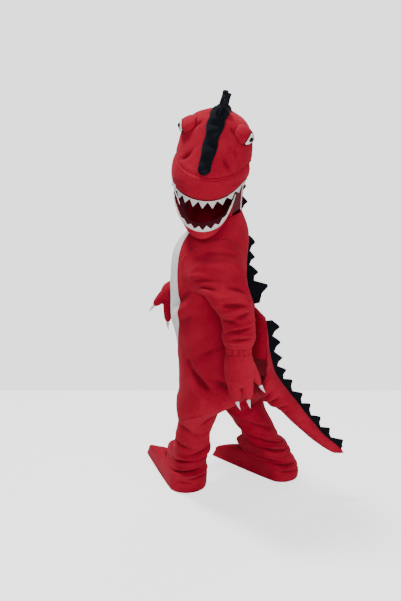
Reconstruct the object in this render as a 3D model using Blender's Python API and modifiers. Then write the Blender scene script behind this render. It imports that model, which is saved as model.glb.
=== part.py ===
"""T-rex costume: a hollow fleece suit with a hooded head, mitts, foot covers, tail and a row of felt spikes.

Metres, +Z up. The front of the suit faces -Y, the wearer's left is +X, the origin is between the shoulders.
"""
import math

import bpy
import bmesh
import numpy as np
from mathutils import Vector

# Driving dimensions
SHOULDER_HEIGHT = 0.830      # floor to shoulders
CROTCH_DROP = 0.485          # shoulders to crotch
FLEECE = 0.0020              # wall of every red panel
FELT = 0.0030                # wall of felt spikes, teeth and claws
SEAM = 0.0003                # gap between neighbouring pieces
FLOOR = -SHOULDER_HEIGHT

COLLECTION = "t_rex_costume"
CUTTERS = "cutters"

RED = (0.42, 0.012, 0.030, 1)
BLACK = (0.006, 0.008, 0.012, 1)
WHITE = (0.78, 0.75, 0.74, 1)
LINING = (0.10, 0.003, 0.010, 1)


# Scene and materials

def clear_scene():
    for thing in list(bpy.data.objects):
        bpy.data.objects.remove(thing, do_unlink=True)


def collection(name):
    group = bpy.data.collections.new(name)
    bpy.context.scene.collection.children.link(group)
    return group


def finish(name, colour, roughness=0.9):
    material = bpy.data.materials.new(name)
    material.use_nodes = True
    shader = material.node_tree.nodes["Principled BSDF"]
    shader.inputs["Base Color"].default_value = colour
    shader.inputs["Roughness"].default_value = roughness
    shader.inputs["Metallic"].default_value = 0.0
    return material


def mesh_object(name, mesh, colour, group):
    thing = bpy.data.objects.new(name, mesh)
    group.objects.link(thing)
    mesh.materials.append(finish(name, colour))
    mesh.shade_smooth()
    return thing


# Curves through short tables

def spread(table, count):
    """Rows read evenly from a smooth curve through the rows of a table."""
    rows = np.array(table, dtype=float)
    padded = np.vstack([2 * rows[0] - rows[1], rows, 2 * rows[-1] - rows[-2]])
    out = []
    for place in np.linspace(0, len(rows) - 1, count):
        first = min(int(place), len(rows) - 2)
        u = place - first
        a, b, c, d = padded[first:first + 4]
        out.append(0.5 * (2 * b + (c - a) * u + (2 * a - 5 * b + 4 * c - d) * u ** 2
                          + (3 * b - a - 3 * c + d) * u ** 3))
    return np.array(out)


def read_at(table, place):
    """One row of the same curve, at a place counted in rows of the table."""
    rows = np.array(table, dtype=float)
    padded = np.vstack([2 * rows[0] - rows[1], rows, 2 * rows[-1] - rows[-2]])
    place = min(max(place, 0.0), len(rows) - 1.0)
    first = min(int(place), len(rows) - 2)
    u = place - first
    a, b, c, d = padded[first:first + 4]
    return 0.5 * (2 * b + (c - a) * u + (2 * a - 5 * b + 4 * c - d) * u ** 2
                  + (3 * b - a - 3 * c + d) * u ** 3)


def crease(along, around, folds):
    """Height of the cloth over its plain form: soft ridges (+) and troughs (-) from a table of folds."""
    height = 0.0
    for centre, angle, slant, width, reach, depth in folds:
        turn = math.remainder(around - angle, 2 * math.pi)
        off = (along - centre - slant * turn) / width
        height += depth * math.exp(-off * off) * math.exp(-(turn / reach) ** 2)
    return height


# Sheets, walls and solids

def sheet_mesh(name, grids):
    """One open surface from grids of points, joined where their points meet.

    Each grid is (rows, closed, pole): closed joins the last column to the first, pole adds an end point.
    """
    mesh = bpy.data.meshes.new(name)
    bm = bmesh.new()
    for rows, closed, pole in grids:
        verts = [[bm.verts.new(point) for point in row] for row in rows]
        columns = len(rows[0])
        for low, high in zip(verts, verts[1:]):
            for i in range(columns if closed else columns - 1):
                j = (i + 1) % columns
                bm.faces.new((low[i], low[j], high[j], high[i]))
        if pole is not None:
            tip = bm.verts.new(pole)
            last = verts[-1]
            for i in range(columns if closed else columns - 1):
                bm.faces.new((last[i], last[(i + 1) % columns], tip))
    bmesh.ops.remove_doubles(bm, verts=bm.verts, dist=0.00005)
    bm.to_mesh(mesh)
    bm.free()
    return mesh


def flip(mesh):
    mesh.flip_normals()
    return mesh


def wall(name, grids, colour, group, thickness=FLEECE, inside_out=False, even=True):
    """Cloth: an open surface given its thickness inwards."""
    mesh = sheet_mesh(name, grids)
    if inside_out:
        flip(mesh)
    thing = mesh_object(name, mesh, colour, group)
    solidify = thing.modifiers.new("cloth thickness", "SOLIDIFY")
    solidify.thickness = thickness
    solidify.offset = -1.0
    solidify.use_rim = True
    solidify.use_even_offset = even
    solidify.thickness_clamp = 0.0
    return thing


def cut(target, cutter, operation="DIFFERENCE"):
    boolean = target.modifiers.new(operation.lower(), "BOOLEAN")
    boolean.operation = operation
    boolean.solver = "EXACT"
    boolean.object = cutter
    return boolean


def hide_cutter(thing):
    thing.hide_render = True
    thing.display_type = "WIRE"


# Body: sections from the neck seam to the crotch. The hips turn away from the front as they go down.
BODY = [
    # z front, z back, centre x, centre y, half depth, half width, turn (degrees), belly half angle (degrees)
    (-0.004, 0.052, 0.000, 0.010, 0.080, 0.078, 0, 38),
    (-0.036, 0.010, 0.000, 0.004, 0.102, 0.104, 0, 40),
    (-0.076, -0.034, 0.000, -0.002, 0.113, 0.131, 0, 41),
    (-0.132, -0.094, 0.000, -0.007, 0.114, 0.143, 0, 42),
    (-0.205, -0.160, 0.000, -0.007, 0.115, 0.142, 2, 48),
    (-0.270, -0.232, 0.002, 0.006, 0.126, 0.142, 9, 50),
    (-0.340, -0.318, 0.000, 0.024, 0.125, 0.148, 18, 38),
    (-0.415, -0.405, -0.004, 0.031, 0.123, 0.151, 28, 9),
    (-CROTCH_DROP, -CROTCH_DROP, -0.008, 0.033, 0.117, 0.154, 35, -9),
]
BODY_ROWS = 17
BODY_COLUMNS = 12            # across each red half
BELLY_COLUMNS = 7
BELLY_LAST = 7.0             # last whole row of the belly panel, then its point
BELLY_TIP = 7.45
BODY_FOLDS = [
    # along (rows of the table), angle, slant, width, reach, depth
    (4.2, -0.80, 0.90, 0.22, 0.40, -0.006),
    (4.9, -0.60, 0.90, 0.25, 0.50, 0.005),
    (5.5, -0.50, 0.80, 0.24, 0.55, -0.005),
    (5.9, 0.20, 0.50, 0.30, 0.80, 0.005),
    (6.7, 0.10, -0.40, 0.26, 0.80, -0.006),
    (4.3, math.pi + 0.80, -0.90, 0.22, 0.40, -0.006),
    (5.0, math.pi + 0.50, -0.90, 0.25, 0.60, 0.005),
    (6.2, math.pi - 0.20, -0.40, 0.30, 0.80, -0.006),
]


def body_point(place, angle, out=0.0):
    """A point of the body's surface: angle 0 is the wearer's left, 90 degrees the back."""
    z_front, z_back, x, y, depth, width, turn, _ = read_at(BODY, place)
    swell = out + crease(place, angle, BODY_FOLDS)
    p = (width + swell) * math.cos(angle)
    q = (depth + swell) * math.sin(angle)
    z = z_front + (z_back - z_front) * (0.5 + 0.5 * math.sin(angle))
    turn = math.radians(turn)
    return Vector((x + p * math.cos(turn) + q * math.sin(turn),
                   y - p * math.sin(turn) + q * math.cos(turn), z))


def body_normal(place, angle):
    step = 0.02
    across = body_point(place, angle + step) - body_point(place, angle - step)
    down = body_point(min(place + step, len(BODY) - 1), angle) - body_point(max(place - step, 0), angle)
    return down.cross(across).normalized()


def belly_edge(place):
    return math.radians(max(read_at(BODY, place)[7], 0.0))


def seam_angle(place):
    """The angle that half a seam takes up in a section, kept clear at the inner face too."""
    lean = FLEECE * math.sin(math.pi / (2 * BODY_COLUMNS - 2))
    return (0.5 * SEAM + lean) / read_at(BODY, place)[4]


def half_angles(place, side):
    """Angles across one red half, from the belly panel's edge round the side to the centre back."""
    start = -math.pi / 2 + belly_edge(place) + seam_angle(place)
    end = math.pi / 2 - seam_angle(place)
    angles = np.linspace(start, end, BODY_COLUMNS)
    return angles if side > 0 else math.pi - angles


def body_rows(side):
    last = len(BODY) - 1
    rows = []
    for place in np.linspace(0, last, BODY_ROWS):
        rows.append([body_point(place, angle) for angle in half_angles(place, side)])
    return rows


# Legs and foot covers: level rings from the crotch to the floor
LEG = {
    # z, centre x, centre y, half across, half front to back, turn (degrees), share of the half-body shape
    "left": [
        (-0.512, 0.052, -0.024, 0.074, 0.098, 38, 0.45),
        (-0.545, 0.046, -0.036, 0.068, 0.072, 42, 0.0),
        (-0.590, 0.034, -0.045, 0.057, 0.057, 46, 0.0),
        (-0.635, 0.020, -0.056, 0.054, 0.054, 50, 0.0),
        (-0.680, 0.005, -0.059, 0.057, 0.057, 54, 0.0),
        (-0.712, -0.005, -0.063, 0.054, 0.055, 56, 0.0),
        (-0.7387, -0.010, -0.068, 0.056, 0.056, 58, 0.0),
    ],
    "right": [
        (-0.512, -0.072, 0.086, 0.074, 0.098, 35, 0.45),
        (-0.545, -0.078, 0.094, 0.070, 0.080, 35, 0.0),
        (-0.590, -0.084, 0.110, 0.064, 0.070, 34, 0.0),
        (-0.635, -0.088, 0.138, 0.060, 0.064, 34, 0.0),
        (-0.680, -0.090, 0.165, 0.058, 0.060, 34, 0.0),
        (-0.712, -0.088, 0.190, 0.058, 0.058, 34, 0.0),
        (-0.7387, -0.086, 0.205, 0.060, 0.062, 33, 0.0),
    ],
}
FOOT = {
    # z over the floor, centre x, centre y, half across, heel reach, toe reach, turn (degrees), taper
    "left": [
        (0.0830, -0.0100, -0.068, 0.056, 0.056, 0.056, 58, 0.00),
        (0.0720, -0.0120, -0.070, 0.059, 0.057, 0.086, 58, 0.15),
        (0.0580, -0.0130, -0.072, 0.061, 0.058, 0.140, 58, 0.38),
        (0.0400, -0.0140, -0.074, 0.063, 0.060, 0.212, 58, 0.52),
        (0.0220, -0.0150, -0.075, 0.064, 0.061, 0.262, 58, 0.56),
        (0.0010, -0.0150, -0.075, 0.064, 0.060, 0.282, 58, 0.56),
    ],
    "right": [
        (0.0830, -0.0860, 0.205, 0.060, 0.062, 0.062, 33, 0.00),
        (0.0720, -0.0860, 0.212, 0.061, 0.062, 0.090, 33, 0.15),
        (0.0580, -0.0855, 0.220, 0.062, 0.062, 0.140, 33, 0.38),
        (0.0400, -0.0850, 0.228, 0.063, 0.062, 0.206, 33, 0.52),
        (0.0220, -0.0850, 0.234, 0.062, 0.060, 0.254, 33, 0.56),
        (0.0010, -0.0850, 0.236, 0.060, 0.057, 0.272, 33, 0.56),
    ],
}
LEG_ROWS = 15
FOOT_ROWS = 7
HEM = 0.004                  # short upright edge where the leg meets the foot cover
INNER_COLUMNS = 7            # across the inseam side of a leg
LEG_FOLDS = {
    # along (rows of the table), angle, slant, width, reach, depth
    "left": [
        (1.0, -0.9, 0.50, 0.30, 0.9, -0.006),
        (2.0, -1.2, -0.50, 0.30, 0.8, 0.005),
        (2.6, 0.6, -0.30, 0.30, 1.0, -0.005),
        (3.6, -0.4, 0.30, 0.30, 1.1, 0.006),
        (4.35, -0.2, -0.16, 0.22, 1.6, -0.009),
        (4.90, 0.1, -0.14, 0.22, 1.7, 0.008),
        (5.45, -0.3, 0.12, 0.20, 1.6, -0.008),
        (4.6, 2.8, 0.20, 0.24, 1.2, -0.007),
    ],
    "right": [
        (1.2, 0.9, -0.40, 0.35, 0.9, -0.006),
        (2.2, 0.2, 0.50, 0.32, 0.9, 0.005),
        (3.2, 0.0, 0.55, 0.28, 1.0, -0.007),
        (4.0, -0.1, 0.50, 0.26, 1.2, 0.007),
        (4.6, 0.3, 0.30, 0.24, 1.4, -0.008),
        (5.3, 0.2, 0.10, 0.24, 1.5, 0.008),
        (4.4, 3.0, 0.20, 0.26, 1.2, -0.007),
    ],
}


def turned(x, y, p, q, turn, z):
    turn = math.radians(turn)
    return Vector((x + p * math.cos(turn) + q * math.sin(turn),
                   y - p * math.sin(turn) + q * math.cos(turn), z))


def ring_angles(side):
    """Angles round a leg: first the outer half, shared with the body, then the inseam side."""
    outer = list(half_angles(len(BODY) - 1, side))
    inner = np.linspace(math.pi / 2, 3 * math.pi / 2, INNER_COLUMNS + 2)[1:-1]
    return outer + list(inner if side > 0 else math.pi - inner)


def leg_rows(name, side):
    top = len(BODY) - 1
    _, _, x0, y0, depth, width, turn0, _ = BODY[top]
    angles = ring_angles(side)
    half_body = []
    for i, angle in enumerate(angles):
        outer = i < BODY_COLUMNS
        p = width * math.cos(angle) if outer else side * 0.5 * SEAM
        half_body.append((p, depth * math.sin(angle)))
    rows = [[body_point(top, angle) if i < BODY_COLUMNS
             else turned(x0, y0, *half_body[i], turn0, BODY[top][0])
             for i, angle in enumerate(angles)]]
    for k, row in enumerate(spread(LEG[name], LEG_ROWS)):
        z, x, y, across, deep, turn, share = row
        place = k * (len(LEG[name]) - 1) / (LEG_ROWS - 1)
        ring = []
        for i, angle in enumerate(angles):
            swell = crease(place, angle if side > 0 else math.pi - angle, LEG_FOLDS[name])
            plain = turned(x, y, (across + swell) * math.cos(angle),
                           (deep + swell) * math.sin(angle), turn, z)
            body = turned(x0, y0, *half_body[i], turn0, z)
            ring.append(plain.lerp(body, share))
        rows.append(ring)
    rows.append([point - Vector((0, 0, HEM)) for point in rows[-1]])
    return rows


def foot_rows(name, side):
    angles = ring_angles(side)
    rows = []
    for height, x, y, across, heel, toe, turn, taper in spread(FOOT[name], FOOT_ROWS):
        ring = []
        for angle in angles:
            forward = max(-math.sin(angle), 0.0)
            p = across * math.cos(angle) * (1 - taper * forward)
            q = (toe if math.sin(angle) < 0 else heel) * math.sin(angle)
            ring.append(turned(x, y, p, q, turn, FLOOR + height))
        rows.append(ring)
    rows.insert(0, [point + Vector((0, 0, HEM)) for point in rows[0]])
    return rows


# Armholes, sleeves and cuffs
ARMHOLE_PLACE = 2.55         # in rows of the body's table
ARMHOLE_HALF_ROWS = 1.25
ARMHOLE_HALF_ANGLE = math.radians(45)
ARMHOLE_STAND = 0.006        # the sleeve first stands straight off the body
ARMHOLE_LAP = 0.035          # share by which the sleeve's end is wider than the hole
ARMHOLE_LIFT = 0.0026        # the sleeve's end lies over the edge of the hole
ARM_COLUMNS = 16
SLEEVE_ROWS = 13
SLEEVE = {
    # distance out, y, z, swing down, bend forward (degrees), half front to back, half thickness
    "left": [
        (0.1630, 0.000, -0.1140, 3, 0, 0.0810, 0.0620),
        (0.1778, 0.018, -0.1290, 20, 0, 0.0735, 0.0500),
        (0.1888, 0.035, -0.1500, 46, 0, 0.0650, 0.0380),
        (0.1960, 0.0505, -0.180, 90, -6, 0.0565, 0.0340),
        (0.1940, 0.066, -0.212, 90, -8, 0.0480, 0.0360),
        (0.1970, 0.073, -0.246, 90, -4, 0.0450, 0.0370),
        (0.1980, 0.0735, -0.280, 90, 0, 0.0455, 0.0380),
        (0.1980, 0.073, -0.303, 90, 0, 0.0390, 0.0350),
    ],
    "right": [
        (0.1630, 0.000, -0.1140, 3, 0, 0.0810, 0.0620),
        (0.1778, 0.008, -0.1290, 20, 0, 0.0735, 0.0500),
        (0.1888, 0.020, -0.1500, 46, 0, 0.0640, 0.0380),
        (0.1910, 0.032, -0.1850, 90, 0, 0.0500, 0.0350),
        (0.1910, 0.0206, -0.2148, 90, 35, 0.0480, 0.0360),
        (0.1880, -0.0052, -0.2310, 90, 70, 0.0450, 0.0360),
        (0.1840, -0.030, -0.2308, 90, 95, 0.0420, 0.0360),
        (0.1790, -0.062, -0.2260, 90, 100, 0.0400, 0.0360),
        (0.1750, -0.088, -0.2210, 90, 98, 0.0360, 0.0340),
    ],
}
SLEEVE_FOLDS = {
    # along (rows of the table), angle, slant, width, reach, depth
    "left": [
        (1.3, 1.2, 0.30, 0.35, 0.9, -0.006),
        (2.2, 1.6, 0.25, 0.30, 1.0, 0.006),
        (3.0, 1.9, -0.30, 0.28, 1.0, -0.007),
        (3.6, 1.2, -0.25, 0.24, 1.1, 0.006),
        (4.3, 1.4, 0.20, 0.24, 1.2, -0.005),
        (5.3, 1.7, -0.20, 0.22, 1.5, -0.006),
        (5.8, 1.5, 0.16, 0.20, 1.6, 0.005),
        (6.3, 1.6, -0.12, 0.20, 1.6, -0.006),
        (5.5, -1.5, 0.15, 0.24, 1.2, -0.004),
    ],
    "right": [
        (2.0, 1.5, 0.30, 0.35, 1.0, -0.006),
        (3.4, 2.6, 0.20, 0.26, 1.0, -0.005),
        (4.2, 0.3, 0.10, 0.26, 1.0, 0.006),
        (5.2, 0.3, 0.10, 0.26, 1.0, 0.005),
        (6.4, 1.5, 0.14, 0.24, 1.5, -0.005),
        (7.2, 1.4, -0.12, 0.22, 1.5, 0.005),
    ],
}
SLEEVE_END = 0.003           # the sleeve ends with a short straight edge
CUFF_LENGTH = 0.0165
CUFF_GATHERS = 13
CUFF_COLUMNS = 2 * CUFF_GATHERS
CUFF_WAVE = 0.0014


def armhole_point(turn, side, spare=0.0, out=0.0):
    """A point of the armhole's edge; spare widens the hole, out moves the point off the body."""
    reach = 1.0 + spare
    place = ARMHOLE_PLACE - ARMHOLE_HALF_ROWS * reach * math.sin(turn)
    angle = ARMHOLE_HALF_ANGLE * reach * math.cos(turn)
    angle = angle if side > 0 else math.pi - angle
    return body_point(place, angle) + body_normal(place, angle) * out


def turns(count):
    return [2 * math.pi * i / count for i in range(count)]


def arm_axes(swing, bend, side):
    swing, bend = math.radians(swing), math.radians(bend)
    along = Vector((side * math.cos(swing),
                    -math.sin(swing) * math.sin(bend), -math.sin(swing) * math.cos(bend)))
    back = Vector((0, math.cos(bend), -math.sin(bend)))
    out = Vector((side * math.sin(swing), math.cos(swing) * math.sin(bend), math.cos(swing) * math.cos(bend)))
    return along, back, out


def arm_ring(row, side, count, swell=None, ahead=0.0):
    """One ring of a sleeve, cuff or glove; ahead moves it along the arm."""
    x, y, z, swing, bend, wide, thick = row
    along, back, out = arm_axes(swing, bend, side)
    centre = Vector((side * x, y, z)) + along * ahead
    ring = []
    for turn in turns(count):
        extra = swell(turn) if swell else 0.0
        ring.append(centre + back * (wide + extra) * math.cos(turn) + out * (thick + extra) * math.sin(turn))
    return ring


def sleeve_rows(name, side):
    rows = [[armhole_point(turn, side, ARMHOLE_LAP, out) for turn in turns(ARM_COLUMNS)]
            for out in (ARMHOLE_LIFT, ARMHOLE_LIFT + ARMHOLE_STAND)]
    table = SLEEVE[name]
    for k, row in enumerate(spread(table, SLEEVE_ROWS)):
        place = k * (len(table) - 1) / (SLEEVE_ROWS - 1)
        rows.append(arm_ring(row, side, ARM_COLUMNS,
                             lambda turn: crease(place, turn, SLEEVE_FOLDS[name])))
    along = arm_axes(table[-1][3], table[-1][4], side)[0]
    rows.append([point + along * SLEEVE_END for point in rows[-1]])
    return rows


def cuff_rows(name, side):
    x, y, z, swing, bend, wide, thick = SLEEVE[name][-1]
    rows = []
    for share, squeeze in ((0.0, 0.0030), (0.5, 0.0036), (1.0, 0.0030)):
        row = (x, y, z, swing, bend, wide - squeeze, thick - squeeze)
        rows.append(arm_ring(row, side, CUFF_COLUMNS,
                             lambda turn: CUFF_WAVE * math.cos(CUFF_GATHERS * turn),
                             ahead=SLEEVE_END + SEAM + share * CUFF_LENGTH))
    return rows


def armhole_cutter(name, side, group):
    """A plug through the body's side, a little narrower than the sleeve's end."""
    rings = [[armhole_point(turn, side, 0.0, out) for turn in turns(ARM_COLUMNS)] for out in (0.03, -0.03)]
    mesh = bpy.data.meshes.new(name)
    bm = bmesh.new()
    verts = [[bm.verts.new(point) for point in ring] for ring in rings]
    for i in range(ARM_COLUMNS):
        j = (i + 1) % ARM_COLUMNS
        bm.faces.new((verts[0][i], verts[0][j], verts[1][j], verts[1][i]))
    heart = body_point(ARMHOLE_PLACE, 0 if side > 0 else math.pi)
    for ring, out in zip(verts, (0.03, -0.06)):
        middle = bm.verts.new(heart + Vector((side * out, 0, 0)))
        for i in range(ARM_COLUMNS):
            bm.faces.new((ring[i], ring[(i + 1) % ARM_COLUMNS], middle))
    bmesh.ops.recalc_face_normals(bm, faces=bm.faces)
    bm.to_mesh(mesh)
    bm.free()
    plug = bpy.data.objects.new(name, mesh)
    group.objects.link(plug)
    hide_cutter(plug)
    return plug


# Tail
TAIL_X = 0.055               # the tail hangs a little to the left of the middle
TAIL_LIFT = 0.0028           # its seam stands on the body's surface
TAIL_PLACE = 6.15            # root, in rows of the body's table
TAIL_HALF_ROWS = 1.12
TAIL_HALF_ANGLE = math.radians(22)
TAIL_COLUMNS = 16
TAIL_ROWS = 14
TAIL = [
    # y top, z top, y bottom, z bottom, half width
    (0.160, -0.258, 0.160, -0.440, 0.075),
    (0.170, -0.325, 0.161, -0.458, 0.068),
    (0.180, -0.385, 0.162, -0.478, 0.059),
    (0.194, -0.425, 0.165, -0.498, 0.050),
    (0.212, -0.457, 0.174, -0.519, 0.044),
    (0.2480, -0.503, 0.210, -0.547, 0.035),
    (0.2825, -0.548, 0.249, -0.586, 0.028),
    (0.3380, -0.616, 0.313, -0.644, 0.021),
    (0.3860, -0.660, 0.370, -0.682, 0.014),
    (0.4030, -0.673, 0.394, -0.688, 0.008),
]
TAIL_TIP = (0.411, -0.688)
TAIL_FOLDS = [
    # along (rows of the table), angle, slant, width, reach, depth
    (0.9, 0.4, 0.40, 0.35, 0.8, -0.005),
    (3.6, -0.9, 0.25, 0.22, 0.8, -0.005),
    (4.1, -0.8, 0.25, 0.20, 0.8, 0.004),
    (4.6, -0.9, 0.25, 0.22, 0.8, -0.005),
    (2.4, 2.8, -0.30, 0.30, 0.8, -0.005),
]


def tail_rows():
    root = []
    for turn in turns(TAIL_COLUMNS):
        place = TAIL_PLACE - TAIL_HALF_ROWS * math.sin(turn)
        angle = math.pi / 2 - TAIL_HALF_ANGLE * math.cos(turn)
        root.append(body_point(place, angle, TAIL_LIFT))
    rows = [root]
    for k, (y_top, z_top, y_low, z_low, wide) in enumerate(spread(TAIL, TAIL_ROWS)):
        place = k * (len(TAIL) - 1) / (TAIL_ROWS - 1)
        middle = Vector((TAIL_X, 0.5 * (y_top + y_low), 0.5 * (z_top + z_low)))
        up = Vector((0, 0.5 * (y_top - y_low), 0.5 * (z_top - z_low)))
        ring = []
        for turn in turns(TAIL_COLUMNS):
            swell = 1.0 + crease(place, turn, TAIL_FOLDS) / wide
            ring.append(middle + Vector((wide * swell * math.cos(turn), 0, 0)) + up * swell * math.sin(turn))
        rows.append(ring)
    return rows


# Hood: rings round the head, which is turned to the wearer's left and tipped down
HEAD_CENTRE = (0.030, 0.009, 0.224)
HEAD_TURN = (13, 16, 12)     # yaw, pitch and roll (degrees)
JAW_CENTRE = (0.030, -0.011, 0.224)
JAW_TURN = (5, 16, 3)
HOOD = [
    # height in front, height behind, reach forward, reach back, half width
    (0.119, 0.117, 0.026, 0.052, 0.040),
    (0.102, 0.098, 0.054, 0.082, 0.072),
    (0.070, 0.066, 0.078, 0.099, 0.093),
    (0.032, 0.034, 0.100, 0.106, 0.102),
    (-0.008, 0.002, 0.130, 0.108, 0.106),
    (-0.034, -0.020, 0.148, 0.108, 0.108),
    (-0.060, -0.038, 0.158, 0.108, 0.113),
    (-0.084, -0.052, 0.157, 0.107, 0.113),
    (-0.100, -0.062, 0.150, 0.106, 0.109),
]
HOOD_POLE = (-0.014, 0.123)  # forward and up
HOOD_SEAM_ROW = 5            # the crown above, the lip band and the nape below
HOOD_COLUMNS = 24
CROWN_ROWS = 9
LIP_ROWS = 5
NAPE_ROWS = 7
MOUTH_CORNER = 82            # degrees each side of the front
HOOD_FOLDS = [
    # along (rows of the table), angle, slant, width, reach, depth
    (4.2, 0.9, 0.4, 0.35, 0.6, -0.004),
    (3.4, -0.75, -0.3, 0.30, 0.5, -0.004),
    (2.9, 2.4, 0.3, 0.35, 0.6, -0.004),
]


def head_axes(yaw, pitch, roll):
    yaw, pitch, roll = (math.radians(angle) for angle in (yaw, pitch, roll))
    forward = Vector((math.cos(pitch) * math.cos(yaw), -math.cos(pitch) * math.sin(yaw), -math.sin(pitch)))
    level = Vector((math.sin(yaw), math.cos(yaw), 0))
    rise = level.cross(forward) * -1
    up = rise * math.cos(roll) + level * math.sin(roll)
    left = level * math.cos(roll) - rise * math.sin(roll)
    return forward, left, up


def head_point(forward_by, left_by, up_by, turn=HEAD_TURN, centre=HEAD_CENTRE):
    forward, left, up = head_axes(*turn)
    return Vector(centre) + forward * forward_by + left * left_by + up * up_by


def hood_point(place, angle, out=0.0):
    """A point of the hood: angle 0 is the front of the snout, 90 degrees the wearer's left."""
    high_front, high_back, ahead, behind, wide = read_at(HOOD, place)
    swell = out + crease(place, angle, HOOD_FOLDS)
    reach = ahead if math.cos(angle) > 0 else behind
    share = 0.5 + 0.5 * math.cos(angle)
    up = high_back + (high_front - high_back) * share
    point = head_point((reach + swell) * math.cos(angle), (wide + swell) * math.sin(angle), up)
    return point


def hood_normal(place, angle):
    step = 0.03
    low, high = min(place + step, len(HOOD) - 1), max(place - step, 0)
    across = hood_point(place, angle + step) - hood_point(place, angle - step)
    down = hood_point(low, angle) - hood_point(high, angle)
    return down.cross(across).normalized()


def crown_rows():
    rows = []
    for place in np.linspace(HOOD_SEAM_ROW, 0, CROWN_ROWS):
        rows.append([hood_point(place, turn) for turn in turns(HOOD_COLUMNS)])
    return rows


def lip_point(share, angle, out=0.0):
    """share 0 at the seam under the crown, 1 at the edge of the lip."""
    place = HOOD_SEAM_ROW + (len(HOOD) - 1 - HOOD_SEAM_ROW) * share
    return hood_point(place, angle, out)


def lip_rows():
    corner = math.radians(MOUTH_CORNER)
    rows = []
    for share in np.linspace(0.02, 1, LIP_ROWS + 1):
        rows.append([lip_point(share, angle)
                     for angle in np.linspace(-corner, corner, HOOD_COLUMNS // 2 + 1)])
    return rows


def neck_point(angle, out=0.0):
    """The neck edge of the body, by the angle round the hood."""
    return body_point(0, angle - math.radians(HEAD_TURN[0]), out)


def nape_point(share, angle, out=0.0):
    """share 0 at the seam under the crown, 1 at the neck seam."""
    top = hood_point(HOOD_SEAM_ROW, angle, out) - head_axes(*HEAD_TURN)[2] * 0.001
    foot = neck_point(angle, out) + Vector((0, 0, NECK_GAP))
    bulge = (top - head_point(0, 0, 0)).normalized() * NAPE_BULGE * math.sin(math.pi * share)
    ease = share + 0.25 * math.sin(math.pi * share) * (share - 1)
    return top.lerp(foot, ease) + bulge


def nape_rows():
    corner = math.radians(MOUTH_CORNER)
    lean = FLEECE / 0.1
    rows = []
    for share in np.linspace(0, 1, NAPE_ROWS):
        start = corner + lean + NAPE_OPEN * math.sin(math.pi * share)
        columns = np.linspace(start, 2 * math.pi - start, HOOD_COLUMNS // 2 + 3)
        rows.append([nape_point(share, angle) for angle in columns])
    return rows


NECK_GAP = 0.0012
NAPE_BULGE = 0.006
NAPE_OPEN = 0.08             # the mouth's side edges curve back (radians)
JAW_COLUMNS = 15
JAW_LEFT = 66                # degrees from the front to its left and right ends
JAW_RIGHT = 76
JAW_REACH = 0.165
JAW_HALF = 0.094
JAW_FRONT = -0.182           # height of the rim in front and at the corners
JAW_CORNER = -0.145
JAW_ROWS = [
    # share from the neck seam to the rim, set in, below the rim
    (0.00, 0.000, 0.000),
    (0.30, 0.024, -0.002),
    (0.60, 0.020, 0.010),
    (0.88, 0.012, 0.022),
    (1.00, 0.004, 0.022),
    (1.00, 0.000, 0.010),
    (1.00, 0.000, 0.000),
]


def jaw_rim(angle, inward=0.0, drop=0.0):
    high = JAW_CORNER + (JAW_FRONT - JAW_CORNER) * math.cos(angle) ** 2
    point = head_point((JAW_REACH - inward) * math.cos(angle), (JAW_HALF - inward) * math.sin(angle), high,
                       JAW_TURN, JAW_CENTRE)
    return point - Vector((0, 0, drop))


def jaw_point(place, angle):
    """A point of the jaw: place counts the rows of its table, from the neck seam to the rim."""
    share, inward, drop = read_at(JAW_ROWS, place)
    near = math.cos(angle) ** 2
    rim = jaw_rim(angle, inward * near, drop * near)
    x, y, depth, width = BODY[0][2:6]
    edge = jaw_rim(angle)
    foot = body_point(0, math.atan2((edge.y - y) / depth, (edge.x - x) / width)) + Vector((0, 0, NECK_GAP))
    share = min(share, 1.0) * near + place / (len(JAW_ROWS) - 1) * (1 - near)
    return foot.lerp(rim, share)


def jaw_rows():
    """The throat and the outside of the lower jaw, from the neck seam to the rim."""
    angles = np.linspace(math.radians(-JAW_RIGHT), math.radians(JAW_LEFT), JAW_COLUMNS)
    return [[jaw_point(place, angle) for angle in angles] for place in range(len(JAW_ROWS))]


# Pieces that lie on a panel: polar patches of the hood's own surface, moved out
BROW = dict(place=2.05, angle=math.radians(60), half_place=0.95, half_angle=math.radians(24), height=0.018)
EYE = dict(place=2.45, angle=math.radians(65), half_place=0.24, half_angle=math.radians(10), tilt=0.5)
PUPIL = dict(place=2.45, angle=math.radians(62), half_place=0.13, half_angle=math.radians(4.2), tilt=0.2)
LIFT = 0.0007                # bare gap under a piece that lies on another
PATCH_RINGS = 5
EYE_THICK = 0.0015


def brow_height(place, angle):
    """How far the padded brow stands off the hood."""
    across = (math.remainder(angle - BROW["angle"], 2 * math.pi)) / BROW["half_angle"]
    along = (place - BROW["place"]) / BROW["half_place"]
    radius = math.hypot(across, along)
    return BROW["height"] * max(1 - radius ** 2, 0.0) ** 0.6


def patch_rows(shape, side, lift, rings, columns):
    """Rings round the middle of a patch, from its edge inwards; lift gives the height at a point."""
    tilt = shape.get("tilt", 0.0)
    rows = []
    for radius in np.linspace(1, 0, rings)[:-1]:
        row = []
        for turn in turns(columns):
            u = radius * math.cos(turn)
            v = radius * math.sin(turn)
            angle = shape["angle"] + shape["half_angle"] * u
            place = shape["place"] + shape["half_place"] * v - tilt * u * shape["half_place"]
            row.append(hood_point(place, side * angle, lift(place, angle)))
        rows.append(row)
    middle = hood_point(shape["place"], side * shape["angle"], lift(shape["place"], shape["angle"]))
    return rows, middle


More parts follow.
